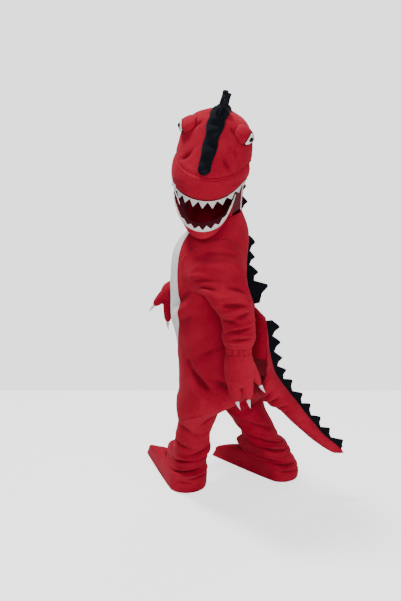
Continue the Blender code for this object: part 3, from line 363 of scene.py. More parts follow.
def foldRows(rows, closed, folds, places, arounds):
    # Lays folds on rows of points: each point moves along its own outward normal
    grid = np.array([[tuple(point) for point in row] for row in rows])
    if closed:
        across = np.roll(grid, -1, axis=1) - np.roll(grid, 1, axis=1)
    else:
        across = np.gradient(grid, axis=1)
    normals = np.cross(np.gradient(grid, axis=0), across)
    normals /= np.maximum(np.linalg.norm(normals, axis=2, keepdims=True), 1e-9)
    outward = grid - grid.mean(axis=1, keepdims=True)
    normals *= np.sign((normals * outward).sum(axis=2, keepdims=True).mean(axis=1, keepdims=True))
    out = []
    for i, place in enumerate(places):
        fade = min(1.0, 6.0 * i / len(places), 6.0 * (len(places) - 1 - i) / len(places))
        out.append([Vector(grid[i, j] + normals[i, j] * crease(place, arounds[i][j], folds) * fade)
                    for j in range(grid.shape[1])])
    return out


# Body: sections from the neck seam to the crotch. The hips turn away from the front as they go down.
crotchDrop = 0.485           # shoulders to crotch
bodyTable = [
    # z front, z back, centre x, centre y, half depth, half width, turn (degrees), belly half angle (degrees)
    (-0.004, 0.052, 0.000, 0.010, 0.080, 0.078, 0, 32),
    (-0.036, 0.010, 0.000, 0.004, 0.102, 0.104, 0, 33),
    (-0.076, -0.034, 0.000, -0.002, 0.113, 0.131, 0, 35),
    (-0.132, -0.094, 0.000, -0.007, 0.114, 0.143, 0, 36),
    (-0.205, -0.160, 0.000, -0.007, 0.115, 0.142, 2, 42),
    (-0.270, -0.232, 0.002, 0.006, 0.126, 0.142, 9, 45),
    (-0.340, -0.318, 0.000, 0.024, 0.125, 0.148, 18, 36),
    (-0.415, -0.405, -0.004, 0.031, 0.123, 0.151, 28, 9),
    (-crotchDrop, -crotchDrop, -0.008, 0.033, 0.117, 0.154, 35, -9),
]
bodyRowCount = count(121)
bodyColumnCount = count(64)            # across each red half
bellyColumnCount = count(48)
bellyLast = 7.0             # last whole row of the belly panel, then its point
bellyTip = 7.45
bodyFolds = [
    # along (rows of the table), angle, slant, width, reach, depth
    (3.95, -0.75, -1.20, 0.22, 0.36, -0.004),
    (4.45, -0.70, -1.00, 0.20, 0.34, 0.003),
    (4.95, -0.60, -0.80, 0.22, 0.40, -0.003),
    (5.6, -0.35, -0.50, 0.30, 0.50, 0.0025),
    (6.2, 0.10, -0.60, 0.22, 0.60, -0.005),
    (6.9, -0.50, 0.90, 0.20, 0.50, 0.004),
    (7.2, -0.20, 1.10, 0.18, 0.55, -0.006),
    (7.35, 0.15, 1.20, 0.13, 0.34, -0.011),
    (7.62, 0.05, 1.20, 0.12, 0.30, 0.006),
    (6.75, -0.25, 1.30, 0.15, 0.30, -0.004),
    (7.5, 0.75, 0.90, 0.16, 0.45, -0.006),
    (7.7, 0.40, 1.00, 0.14, 0.40, 0.004),
    (5.2, 1.00, 0.80, 0.18, 0.50, -0.005),
    (6.6, 1.10, 0.70, 0.18, 0.45, -0.005),
    (4.3, math.pi + 0.80, 1.10, 0.20, 0.42, -0.006),
    (5.0, math.pi + 0.50, 0.90, 0.22, 0.55, 0.005),
    (6.2, math.pi - 0.20, 0.60, 0.24, 0.70, -0.006),
    (7.2, math.pi + 0.10, -0.90, 0.18, 0.55, -0.006),
    (5.3, math.pi - 1.05, -0.80, 0.18, 0.45, -0.005),
]


def turned(x, y, p, q, turn, z):
    # p across and q towards the back, about a section's middle, turned by degrees
    turn = math.radians(turn)
    return Vector((x + p * math.cos(turn) + q * math.sin(turn),
                   y - p * math.sin(turn) + q * math.cos(turn), z))


def bodyPoint(place, angle, out=0.0):
    # A point of the body's surface: angle 0 is the wearer's left, 90 degrees the back
    zFront, zBack, x, y, depth, width, turn, _ = readAt(bodyTable, place)
    swell = out + crease(place, angle, bodyFolds)
    p = (width + swell) * math.cos(angle)
    q = (depth + swell) * math.sin(angle)
    z = zFront + (zBack - zFront) * (0.5 + 0.5 * math.sin(angle))
    return turned(x, y, p, q, turn, z)


def bodyNormal(place, angle):
    step = 0.02
    across = bodyPoint(place, angle + step) - bodyPoint(place, angle - step)
    down = bodyPoint(min(place + step, len(bodyTable) - 1), angle) - bodyPoint(max(place - step, 0), angle)
    return down.cross(across).normalized()


def bellyEdge(place):
    return math.radians(max(readAt(bodyTable, place)[7], 0.0))


def seamAngle(place):
    # The angle that half a seam takes up at the front or back of a section, kept clear at the inner face too
    lean = 0.00005
    return (0.5 * seamGap + lean) / readAt(bodyTable, place)[4]


backSeam = dict(end=7.0, overlap=1.4)       # row where it opens, overlap in half seams


def halfAngles(place, side):
    # Angles across one red half, from the belly panel's edge round the side to the centre back
    # The two halves meet at the centre back, down to just above the crotch
    start = -math.pi / 2 + bellyEdge(place) + seamAngle(place)
    closed = min(max(backSeam["end"] - place, 0.0), 1.0)
    end = math.pi / 2 - seamAngle(place) * (1 - backSeam["overlap"] * closed)
    angles = np.linspace(start, end, bodyColumnCount)
    return angles if side > 0 else math.pi - angles


def bodyGrid(side):
    return [[bodyPoint(place, angle) for angle in halfAngles(place, side)]
            for place in np.linspace(0, len(bodyTable) - 1, bodyRowCount)]


# Legs and foot covers: level rings from the crotch to the floor
legTables = {
    # z, centre x, centre y, half across, half front to back, turn (degrees), share of the half-body shape
    "left": [
        (-0.512, 0.052, -0.024, 0.074, 0.098, 38, 0.45),
        (-0.545, 0.046, -0.036, 0.068, 0.072, 42, 0.0),
        (-0.590, 0.034, -0.045, 0.057, 0.057, 46, 0.0),
        (-0.635, 0.020, -0.056, 0.054, 0.054, 50, 0.0),
        (-0.680, 0.005, -0.059, 0.057, 0.057, 54, 0.0),
        (-0.712, -0.005, -0.063, 0.054, 0.055, 56, 0.0),
        (-0.7387, -0.010, -0.068, 0.056, 0.056, 58, 0.0),
    ],
    "right": [
        (-0.512, -0.072, 0.086, 0.074, 0.098, 35, 0.45),
        (-0.545, -0.078, 0.094, 0.070, 0.080, 35, 0.0),
        (-0.590, -0.084, 0.110, 0.064, 0.070, 34, 0.0),
        (-0.635, -0.088, 0.138, 0.060, 0.064, 34, 0.0),
        (-0.680, -0.090, 0.165, 0.058, 0.060, 34, 0.0),
        (-0.712, -0.088, 0.190, 0.058, 0.058, 34, 0.0),
        (-0.7387, -0.086, 0.205, 0.060, 0.062, 33, 0.0),
    ],
}
footTables = {
    # z over the floor, centre x, centre y, half across, heel and toe reach, turn (degrees), taper of the toe
    "left": [
        (0.0830, -0.0100, -0.068, 0.056, 0.056, 0.056, 58, 0.00),
        (0.0730, -0.0120, -0.070, 0.060, 0.059, 0.080, 58, 0.20),
        (0.0580, -0.0130, -0.072, 0.063, 0.061, 0.170, 58, 0.45),
        (0.0400, -0.0140, -0.074, 0.064, 0.061, 0.248, 58, 0.66),
        (0.0220, -0.0150, -0.075, 0.064, 0.061, 0.266, 58, 0.72),
        (0.0010, -0.0150, -0.075, 0.062, 0.059, 0.280, 58, 0.72),
    ],
    "right": [
        (0.0830, -0.0860, 0.205, 0.060, 0.062, 0.062, 33, 0.00),
        (0.0730, -0.0860, 0.211, 0.062, 0.063, 0.090, 33, 0.18),
        (0.0580, -0.0855, 0.220, 0.063, 0.063, 0.172, 33, 0.42),
        (0.0400, -0.0850, 0.228, 0.063, 0.062, 0.236, 33, 0.62),
        (0.0220, -0.0850, 0.234, 0.062, 0.060, 0.256, 33, 0.68),
        (0.0010, -0.0850, 0.236, 0.059, 0.056, 0.270, 33, 0.68),
    ],
}
legRowCount = count(96)
footRowCount = count(36)
hemEdge = 0.004                  # short upright edge where the leg meets the foot cover
innerColumnCount = count(32)            # across the inseam side of a leg
legFolds = {
    # along (rows of the table), angle, slant, width, reach, depth
    "left": [
        (0.3, 1.30, -0.90, 0.20, 0.55, -0.006),
        (0.9, 0.70, -1.10, 0.18, 0.60, 0.005),
        (1.4, 1.50, -0.80, 0.16, 0.50, -0.005),
        (2.3, 0.30, 0.50, 0.22, 0.70, -0.004),
        (2.9, 1.30, -0.40, 0.20, 0.70, 0.004),
        (3.6, 0.20, 0.35, 0.18, 0.80, -0.005),
        (4.10, 1.70, -0.45, 0.14, 0.70, -0.005),
        (4.70, 1.10, -0.34, 0.30, 1.20, 0.009),
        (5.25, 0.90, -0.36, 0.13, 1.10, -0.011),
        (5.60, 1.60, -0.20, 0.16, 0.80, 0.006),
        (4.6, -1.60, 0.30, 0.20, 1.00, -0.007),
        (5.2, -2.00, 0.25, 0.18, 1.00, 0.006),
        (3.2, -2.20, -0.40, 0.22, 0.90, -0.005),
    ],
    "right": [
        (0.8, 0.30, 0.80, 0.22, 0.60, -0.005),
        (1.5, 1.00, -0.70, 0.20, 0.70, -0.005),
        (2.3, 0.10, 0.60, 0.20, 0.70, 0.004),
        (3.0, 0.90, 0.50, 0.20, 0.80, -0.006),
        (3.6, 0.20, 0.50, 0.18, 0.90, 0.005),
        (4.2, 0.70, 0.45, 0.16, 1.00, -0.007),
        (4.7, 0.40, 0.40, 0.16, 1.10, 0.008),
        (5.2, 0.60, 0.35, 0.14, 1.20, -0.009),
        (5.6, 1.30, 0.20, 0.14, 1.10, 0.006),
        (4.4, 3.00, 0.20, 0.22, 1.00, -0.007),
        (5.0, 3.40, -0.25, 0.20, 1.00, 0.006),
        (3.3, -2.30, 0.30, 0.22, 0.90, -0.005),
    ],
}
footFolds = {
    # along (rows of the table), angle, slant, width, reach, depth
    "left": [
        (0.35, 1.60, -0.20, 0.22, 0.70, -0.006),
        (0.95, 0.80, -0.45, 0.26, 0.80, -0.008),
        (1.65, 1.30, -0.30, 0.36, 0.90, 0.007),
        (2.45, 1.80, -0.25, 0.24, 0.60, -0.006),
        (3.20, 1.00, 0.30, 0.26, 0.50, -0.003),
        (0.9, -1.20, 0.20, 0.30, 0.50, -0.005),
        (1.0, 3.40, 0.20, 0.30, 0.90, -0.006),
    ],
    "right": [
        (0.5, 0.20, 0.90, 0.30, 0.50, -0.009),
        (1.1, 0.50, 0.70, 0.28, 0.50, 0.007),
        (1.7, 0.80, 0.40, 0.26, 0.70, -0.008),
        (2.5, 1.20, 0.10, 0.30, 0.70, 0.006),
        (3.2, 0.90, 0.15, 0.28, 0.60, -0.005),
        (0.8, -1.30, 0.20, 0.30, 0.50, -0.006),
        (1.0, 3.20, 0.20, 0.30, 0.90, -0.006),
    ],
}

instep = dict(out=0.070, height=0.094, reach=0.034, narrow=3.5, power=1.5)


def instepOut(z):
    # The hem of the leg falls forward over the shoe
    return instep["out"] * math.exp(-((z - floorHeight - instep["height"]) / instep["reach"]) ** 2)


def ringAngles(side):
    # Angles round a leg: first the outer half, shared with the body, then the inseam side
    outer = list(halfAngles(len(bodyTable) - 1, side))
    inner = np.linspace(math.pi / 2, 3 * math.pi / 2, innerColumnCount + 2)[1:-1]
    return outer + list(inner if side > 0 else math.pi - inner)


def legGrid(name, side):
    top = len(bodyTable) - 1
    _, _, x0, y0, depth, width, turn0, _ = bodyTable[top]
    angles = ringAngles(side)
    halfBody = []
    for i, angle in enumerate(angles):
        outer = i < bodyColumnCount
        p = width * math.cos(angle) if outer else side * 0.5 * seamGap
        halfBody.append((p, depth * math.sin(angle)))
    rows = [[bodyPoint(top, angle) if i < bodyColumnCount
             else turned(x0, y0, *halfBody[i], turn0, bodyTable[top][0])
             for i, angle in enumerate(angles)]]
    for z, x, y, across, deep, turn, share in spread(legTables[name], legRowCount):
        ring = []
        for i, angle in enumerate(angles):
            forward = max(-math.sin(angle), 0.0)
            ahead = deep * math.sin(angle) - instepOut(z) * forward ** instep["power"]
            aside = across * math.cos(angle) * (1 - instep["narrow"] * instepOut(z) * forward)
            plain = turned(x, y, aside, ahead, turn, z)
            body = turned(x0, y0, *halfBody[i], turn0, z)
            ring.append(plain.lerp(body, share))
        rows.append(ring)
    rows.append([point - Vector((0, 0, hemEdge)) for point in rows[-1]])
    last = len(legTables[name]) - 1
    places = [0] + list(np.linspace(0, last, legRowCount)) + [last]
    return foldRows(rows, True, legFolds[name], places, [angles] * len(rows))


def footGrid(name, side):
    angles = ringAngles(side)
    rows = []
    for height, x, y, across, heel, toe, turn, taper in spread(footTables[name], footRowCount):
        ring = []
        for angle in angles:
            forward = max(-math.sin(angle), 0.0)
            bulge = instepOut(floorHeight + height)
            p = across * math.cos(angle) * (1 - max(taper, instep["narrow"] * bulge) * forward)
            q = (toe if math.sin(angle) < 0 else heel) * math.sin(angle)
            q -= bulge * forward ** instep["power"]
            ring.append(turned(x, y, p, q, turn, floorHeight + height))
        rows.append(ring)
    rows.insert(0, [point + Vector((0, 0, hemEdge)) for point in rows[0]])
    places = [0] + list(np.linspace(0, len(footTables[name]) - 1, footRowCount))
    return foldRows(rows, True, footFolds[name], places, [angles] * len(rows))


# Armholes, sleeves and cuffs
armholePlace = 2.55         # in rows of the body's table
armholeHalfRows = 1.25
armholeHalfAngle = math.radians(45)
armholeLap = 0.035          # share by which the sleeve's end is wider than the hole
armholeLift = 0.0026        # the sleeve's end lies over the edge of the hole
armColumnCount = count(80)
sleeveRowCount = count(96)
sleeveTables = {
    # distance out, y, z, swing down, bend forward (degrees), half front to back, half thickness
    "left": [
        (0.1630, 0.000, -0.1140, 3, 0, 0.0810, 0.0620),
        (0.1778, 0.018, -0.1290, 20, 0, 0.0735, 0.0500),
        (0.1888, 0.035, -0.1500, 46, 0, 0.0650, 0.0380),
        (0.1960, 0.0505, -0.180, 90, -6, 0.0565, 0.0340),
        (0.1940, 0.066, -0.212, 90, -8, 0.0480, 0.0360),
        (0.1970, 0.073, -0.246, 90, -4, 0.0450, 0.0370),
        (0.1980, 0.0735, -0.280, 90, 0, 0.0455, 0.0380),
        (0.1980, 0.073, -0.303, 90, 0, 0.0390, 0.0350),
    ],
    "right": [
        (0.1630, 0.000, -0.1140, 3, 0, 0.0810, 0.0620),
        (0.1778, 0.008, -0.1290, 20, 0, 0.0735, 0.0500),
        (0.1888, 0.020, -0.1500, 46, 0, 0.0640, 0.0380),
        (0.1910, 0.032, -0.1850, 90, 0, 0.0500, 0.0350),
        (0.1910, 0.0206, -0.2148, 90, 35, 0.0480, 0.0360),
        (0.1880, -0.0052, -0.2310, 90, 70, 0.0450, 0.0360),
        (0.1840, -0.030, -0.2308, 90, 95, 0.0420, 0.0360),
        (0.1790, -0.062, -0.2260, 90, 100, 0.0400, 0.0360),
        (0.1750, -0.088, -0.2210, 90, 98, 0.0360, 0.0340),
    ],
}
sleeveFolds = {
    # along (rows of the table), angle, slant, width, reach, depth
    "left": [
        (-0.2, 1.60, -0.30, 0.26, 1.00, -0.006),
        (0.9, 2.60, -0.90, 0.20, 0.55, 0.005),
        (1.9, 2.50, -0.70, 0.20, 0.60, -0.006),
        (0.5, 1.90, -0.25, 0.24, 0.90, 0.005),
        (1.3, 2.30, -0.50, 0.22, 0.60, -0.005),
        (2.3, 1.00, -0.35, 0.24, 0.80, -0.006),
        (2.75, 1.70, 0.25, 0.24, 0.90, 0.005),
        (3.15, 1.40, -0.30, 0.20, 0.90, -0.006),
        (3.6, 1.80, 0.25, 0.24, 0.80, 0.0045),
        (4.1, 1.20, 0.30, 0.20, 0.80, -0.0045),
        (4.5, 2.10, -0.30, 0.18, 0.80, -0.004),
        (4.83, 1.10, 0.20, 0.17, 1.00, 0.0042),
        (5.2, 1.70, 0.25, 0.15, 1.20, -0.0040),
        (5.58, 1.30, -0.15, 0.17, 1.10, 0.0046),
        (5.93, 1.50, 0.20, 0.13, 1.30, -0.0036),
        (6.28, 1.90, -0.18, 0.16, 1.20, 0.0042),
        (6.6, 1.40, 0.12, 0.12, 1.50, -0.0028),
        (3.3, -1.50, 0.20, 0.22, 1.00, -0.006),
        (5.0, -1.60, -0.20, 0.20, 1.20, -0.006),
        (6.0, -1.40, 0.20, 0.20, 1.20, 0.005),
    ],
    "right": [
        (-0.1, 1.50, 0.30, 0.26, 1.00, -0.006),
        (1.6, 1.90, -0.30, 0.24, 0.80, -0.006),
        (2.8, 2.40, 0.20, 0.22, 0.90, -0.007),
        (3.5, 2.60, 0.20, 0.20, 1.00, -0.007),
        (3.9, 0.20, 0.10, 0.20, 1.00, 0.006),
        (4.4, 2.70, -0.15, 0.18, 1.00, 0.006),
        (4.9, 0.40, 0.10, 0.18, 1.00, 0.006),
        (5.4, 1.20, 0.20, 0.16, 1.10, -0.007),
        (6.2, 1.50, -0.16, 0.17, 1.40, 0.0045),
        (6.7, 1.40, 0.14, 0.15, 1.50, -0.0040),
        (7.2, 1.50, -0.12, 0.16, 1.50, 0.0042),
        (7.6, 1.40, 0.10, 0.10, 1.50, -0.005),
        (5.0, -1.50, 0.20, 0.20, 1.00, -0.006),
        (6.6, -1.50, -0.20, 0.18, 1.20, -0.005),
    ],
}
sleeveEnd = 0.003           # the sleeve ends with a short straight edge
cuffLength = 0.0165
cuffGathers = 13
cuffColumnCount = count(10) * cuffGathers
cuffWave = 0.0014
wing = dict(start=-1.0, end=3.0, mix=1.4, bulge=0.006)      # how the sleeve's top leaves the armhole, in rows
cuffSqueeze = (0.0030, 0.0006)      # at its edges, and more in its middle


def armholePoint(turn, side, spare=0.0, out=0.0):
    # A point of the armhole's edge; spare widens the hole, out moves the point off the body
    reach = 1.0 + spare
    place = armholePlace - armholeHalfRows * reach * math.sin(turn)
    angle = armholeHalfAngle * reach * math.cos(turn)
    angle = angle if side > 0 else math.pi - angle
    return bodyPoint(place, angle) + bodyNormal(place, angle) * out


def turns(count):
    return [2 * math.pi * i / count for i in range(count)]


def armAxes(swing, bend, side):
    swing, bend = math.radians(swing), math.radians(bend)
    along = Vector((side * math.cos(swing), -math.sin(swing) * math.sin(bend),
                    -math.sin(swing) * math.cos(bend)))
    back = Vector((0, math.cos(bend), -math.sin(bend)))
    out = Vector((side * math.sin(swing), math.cos(swing) * math.sin(bend), math.cos(swing) * math.cos(bend)))
    return along, back, out


def armRing(row, side, count, swell=None, ahead=0.0):
    # One ring of a sleeve, cuff or glove; ahead moves it along the arm
    x, y, z, swing, bend, wide, thick = row
    along, back, out = armAxes(swing, bend, side)
    centre = Vector((side * x, y, z)) + along * ahead
    ring = []
    for turn in turns(count):
        extra = swell(turn) if swell else 0.0
        ring.append(centre + back * (wide + extra) * math.cos(turn) + out * (thick + extra) * math.sin(turn))
    return ring


def sleeveGrid(name, side):
    # The top runs straight from the armhole down to the arm, then the table takes over
    table = sleeveTables[name]
    last = len(table) - 1
    hole = [armholePoint(turn, side, armholeLap, armholeLift) for turn in turns(armColumnCount)]
    arm = armRing(readAt(table, wing["end"]), side, armColumnCount)
    rows = []
    places = list(np.linspace(wing["start"], last, sleeveRowCount))
    for place in places:
        share = min((place - wing["start"]) / (wing["end"] - wing["start"]), 1.0)
        ease = min(max((place - wing["mix"]) / (wing["end"] - wing["mix"]), 0.0), 1.0)
        ease = ease * ease * (3 - 2 * ease)
        tabled = armRing(readAt(table, max(place, 0.0)), side, armColumnCount)
        lift = Vector((side, 0, 0.6)) * wing["bulge"] * math.sin(math.pi * share) * (1 - ease)
        rows.append([a.lerp(b, share).lerp(c, ease) + lift for a, b, c in zip(hole, arm, tabled)])
    along = armAxes(table[-1][3], table[-1][4], side)[0]
    rows.append([point + along * sleeveEnd for point in rows[-1]])
    places.append(last)
    return foldRows(rows, True, sleeveFolds[name], places, [turns(armColumnCount)] * len(rows))


def cuffGrid(name, side):
    x, y, z, swing, bend, wide, thick = sleeveTables[name][-1]
    rows = []
    for share in np.linspace(0, 1, count(14)):
        squeeze = cuffSqueeze[0] + cuffSqueeze[1] * math.sin(math.pi * share)
        row = (x, y, z, swing, bend, wide - squeeze, thick - squeeze)
        rows.append(armRing(row, side, cuffColumnCount, lambda turn: cuffWave * math.cos(cuffGathers * turn),
                            ahead=sleeveEnd + seamGap + share * cuffLength))
    return rows


# Tail
tailX = 0.055               # the tail hangs a little to the left of the middle
tailLift = 0.0028           # its seam stands on the body's surface
tailPlace = 6.15            # root, in rows of the body's table
tailHalfRows = 1.12
tailHalfAngle = math.radians(22)
tailColumnCount = count(64)
tailRowCount = count(130)
tailTable = [
    # y top, z top, y bottom, z bottom, half width
    (0.160, -0.258, 0.160, -0.440, 0.075),
    (0.170, -0.325, 0.152, -0.462, 0.068),
    (0.180, -0.385, 0.148, -0.484, 0.059),
    (0.194, -0.425, 0.152, -0.504, 0.050),
    (0.212, -0.457, 0.168, -0.521, 0.044),
    (0.2480, -0.503, 0.210, -0.547, 0.035),
    (0.2825, -0.548, 0.249, -0.586, 0.028),
    (0.3380, -0.616, 0.313, -0.644, 0.021),
    (0.3860, -0.660, 0.370, -0.682, 0.014),
    (0.4030, -0.673, 0.394, -0.688, 0.008),
]
tailTip = (0.411, -0.688)
tailFolds = [
    # along (rows of the table), angle, slant, width, reach, depth
    (0.9, 0.4, 0.40, 0.30, 0.8, -0.005),
    (1.8, 0.2, 0.40, 0.26, 0.8, -0.004),
    (3.2, -0.5, 0.30, 0.16, 0.8, -0.004),
    (3.7, -0.6, 0.25, 0.14, 0.8, 0.003),
    (4.1, -0.5, 0.25, 0.12, 0.8, -0.004),
    (4.45, -0.6, 0.25, 0.12, 0.8, 0.003),
    (4.8, -0.5, 0.25, 0.12, 0.8, -0.004),
    (5.2, -0.4, 0.20, 0.12, 0.7, -0.003),
    (6.2, 0.1, 0.20, 0.16, 0.7, -0.002),
    (2.4, 2.8, -0.30, 0.26, 0.8, -0.005),
    (4.2, 3.6, -0.25, 0.14, 0.8, -0.004),
]


def tailGrid():
    root = []
    for turn in turns(tailColumnCount):
        place = tailPlace - tailHalfRows * math.sin(turn)
        angle = math.pi / 2 - tailHalfAngle * math.cos(turn)
        root.append(bodyPoint(place, angle, tailLift))
    rows = [root]
    for yTop, zTop, yLow, zLow, wide in spread(tailTable, tailRowCount):
        middle = Vector((tailX, 0.5 * (yTop + yLow), 0.5 * (zTop + zLow)))
        up = Vector((0, 0.5 * (yTop - yLow), 0.5 * (zTop - zLow)))
        ring = []
        for turn in turns(tailColumnCount):
            ring.append(middle + Vector((wide * math.cos(turn), 0, 0)) + up * math.sin(turn))
        rows.append(ring)
    places = [0] + list(np.linspace(0, len(tailTable) - 1, tailRowCount))
    return foldRows(rows, True, tailFolds, places, [turns(tailColumnCount)] * len(rows))


# Hood: rings round the head, which is turned to the wearer's left and tipped down
headCentre = (0.030, 0.009, 0.224)
headTurn = (13, 16, 12)     # yaw, pitch and roll (degrees)
jawCentre = (0.030, -0.011, 0.224)
jawTurn = (5, 16, 3)
hoodTable = [
    # height in front, height behind, reach forward, reach back, half width
    (0.109, 0.107, 0.026, 0.052, 0.040),
    (0.093, 0.090, 0.054, 0.082, 0.072),
    (0.065, 0.062, 0.078, 0.099, 0.093),
    (0.032, 0.034, 0.100, 0.106, 0.102),
    (-0.008, 0.002, 0.130, 0.108, 0.106),
    (-0.034, -0.020, 0.148, 0.108, 0.108),
    (-0.060, -0.038, 0.158, 0.108, 0.113),
    (-0.084, -0.052, 0.157, 0.107, 0.113),
    (-0.100, -0.062, 0.150, 0.106, 0.109),
]
hoodPole = (-0.014, 0.113)  # forward and up
hoodSeamRow = 5            # the crown above, the lip band and the nape below
hoodColumnCount = count(128)
crownRowCount = count(48)
lipRowCount = count(26)
napeRowCount = count(44)
mouthCorner = 82            # degrees each side of the front
cheeks = dict(angle=1.35, reach=0.62, start=2.5, seam=0.022, lip=0.033, rightSeam=0.010, rightLip=0.003)
neckGap = 0.0002
neckAllowance = [(0.0034, 0.0), (0.0036, 0.004), (0.0036, 0.008)]      # set in, down
napeBulge = -0.010
napeOpen = 0.08             # the mouth's side edges curve back (radians)
hoodFolds = [
    # along (rows of the table), angle, slant, width, reach, depth
    (3.9, 0.55, 3.0, 0.19, 0.17, -0.0050),
    (3.2, 0.75, 2.5, 0.18, 0.14, -0.0030),
    (1.6, 0.62, 2.0, 0.30, 0.14, -0.0040),
    (3.9, -0.60, -3.0, 0.19, 0.17, -0.0050),
    (1.6, -0.62, -2.0, 0.30, 0.14, -0.0040),
    (5.9, 0.20, 0.30, 0.35, 0.50, -0.0025),
    (6.8, -0.50, -0.4, 0.40, 0.30, -0.0030),
    (6.4, 0.90, 0.6, 0.40, 0.30, -0.0030),
    (2.9, 2.4, 0.3, 0.35, 0.6, -0.004),
    (3.6, -2.5, 0.3, 0.35, 0.6, -0.004),
]


def headAxes(yaw, pitch, roll):
    yaw, pitch, roll = (math.radians(angle) for angle in (yaw, pitch, roll))
    forward = Vector((math.cos(pitch) * math.cos(yaw), -math.cos(pitch) * math.sin(yaw),
                      -math.sin(pitch)))
    level = Vector((math.sin(yaw), math.cos(yaw), 0))
    rise = level.cross(forward) * -1
    up = rise * math.cos(roll) + level * math.sin(roll)
    left = level * math.cos(roll) - rise * math.sin(roll)
    return forward, left, up


def headPoint(forwardBy, leftBy, upBy, turn=headTurn, centre=headCentre):
    forward, left, up = headAxes(*turn)
    return Vector(centre) + forward * forwardBy + left * leftBy + up * upBy


def cheekRise(place, angle):
    # The corners of the mouth are pulled up, the wearer's left one more
    turn = math.remainder(angle, 2 * math.pi)
    seam, lip = (cheeks["seam"], cheeks["lip"]) if turn > 0 else (cheeks["rightSeam"], cheeks["rightLip"])
    near = math.exp(-((abs(turn) - cheeks["angle"]) / cheeks["reach"]) ** 2)
    rise = np.interp(place, (cheeks["start"], hoodSeamRow, len(hoodTable) - 1), (0.0, seam, lip))
    return rise * near


def hoodPoint(place, angle, out=0.0):
    # A point of the hood: angle 0 is the front of the snout, 90 degrees the wearer's left
    highFront, highBack, ahead, behind, wide = readAt(hoodTable, place)
    swell = out + crease(place, angle, hoodFolds)
    reach = ahead if math.cos(angle) > 0 else behind
    share = 0.5 + 0.5 * math.cos(angle)
    up = highBack + (highFront - highBack) * share + cheekRise(place, angle)
    point = headPoint((reach + swell) * math.cos(angle), (wide + swell) * math.sin(angle), up)
    return point


def hoodNormal(place, angle):
    step = 0.03
    low, high = min(place + step, len(hoodTable) - 1), max(place - step, 0)
    across = hoodPoint(place, angle + step) - hoodPoint(place, angle - step)
    down = hoodPoint(low, angle) - hoodPoint(high, angle)
    return down.cross(across).normalized()


def crownGrid():
    return [[hoodPoint(place, turn) for turn in turns(hoodColumnCount)]
            for place in np.linspace(hoodSeamRow, 0, crownRowCount)]


def lipPoint(share, angle, out=0.0):
    # share 0 at the seam under the crown, 1 at the edge of the lip
    place = hoodSeamRow + (len(hoodTable) - 1 - hoodSeamRow) * share
    return hoodPoint(place, angle, out)


def lipGrid():
    corner = math.radians(mouthCorner)
    angles = np.linspace(-corner, corner, hoodColumnCount // 2 + 1)
    return [[lipPoint(share, angle) for angle in angles] for share in np.linspace(0.005, 1, lipRowCount + 1)]


def neckPoint(angle, out=0.0):
    # The neck edge of the body, by the angle round the hood
    return bodyPoint(0, angle - math.radians(headTurn[0]), out)


def napePoint(share, angle, out=0.0):
    # share 0 at the seam under the crown, 1 at the neck seam
    top = hoodPoint(hoodSeamRow, angle, out) - headAxes(*headTurn)[2] * 0.001
    foot = neckPoint(angle, out) + Vector((0, 0, neckGap))
    bulge = (top - headPoint(0, 0, 0)).normalized() * napeBulge * math.sin(math.pi * share)
    ease = share + 0.25 * math.sin(math.pi * share) * (share - 1)
    return top.lerp(foot, ease) + bulge


def napeStart(share):
    # Where the nape's front edge runs: it curves back between the corner of the mouth and the neck
    return math.radians(mouthCorner) + 0.004 + napeOpen * math.sin(math.pi * share)


def napeEdge(share, side):
    angle = side * napeStart(share)
    return napePoint(share, angle, -0.0009)


def napeGrid():
    rows = []
    for share in np.linspace(0, 1, napeRowCount):
        start = napeStart(share)
        columns = np.linspace(start, 2 * math.pi - start, hoodColumnCount // 2 + 3)
        rows.append([napePoint(share, angle) for angle in columns])
    # The seam allowance is turned in and lies against the inside of the body's neck
    middle = sum(rows[-1], Vector()) / len(rows[-1])
    for inset, drop in neckAllowance:
        row = []
        for point in rows[napeRowCount - 1]:
            inward = (middle - point) * Vector((1, 1, 0))
            row.append(point + inward.normalized() * inset - Vector((0, 0, drop)))
        rows.append(row)
    return rows


jawColumnCount = count(64)
jawLeft = 66                # degrees from the front to its left and right ends
jawRight = 76
jawReach = 0.165
jawHalf = 0.094
jawFront = -0.182           # height of the rim in front and at the corners
jawCorner = -0.145
jawLifts = dict(left=0.050, right=0.035, start=25)
jawTable = [
    # share from the neck seam to the rim, set in, below the rim
    (0.00, 0.000, 0.000),
    (0.30, 0.024, -0.002),
    (0.60, 0.020, 0.010),
    (0.88, 0.012, 0.022),
    (1.00, 0.004, 0.022),
    (1.00, 0.000, 0.010),
    (1.00, 0.000, 0.000),
]


def jawRim(angle, inward=0.0, drop=0.0):
    high = jawCorner + (jawFront - jawCorner) * math.cos(angle) ** 2
    limit, lift = (jawLeft, jawLifts["left"]) if angle > 0 else (jawRight, jawLifts["right"])
    near = min(max((math.degrees(abs(angle)) - jawLifts["start"]) / (limit - jawLifts["start"]), 0.0), 1.0)
    high += lift * near ** 2
    point = headPoint((jawReach - inward) * math.cos(angle), (jawHalf - inward) * math.sin(angle), high,
                       jawTurn, jawCentre)
    return point - Vector((0, 0, drop))


def jawPoint(place, angle):
    # A point of the jaw: place counts the rows of its table, from the neck seam to the rim
    share, inward, drop = readAt(jawTable, place)
    near = math.cos(angle) ** 2
    rim = jawRim(angle, inward * near, drop * near)
    x, y, depth, width = bodyTable[0][2:6]
    edge = jawRim(angle)
    foot = bodyPoint(0, math.atan2((edge.y - y) / depth, (edge.x - x) / width)) + Vector((0, 0, neckGap))
    share = min(share, 1.0) * near + place / (len(jawTable) - 1) * (1 - near)
    return foot.lerp(rim, share)


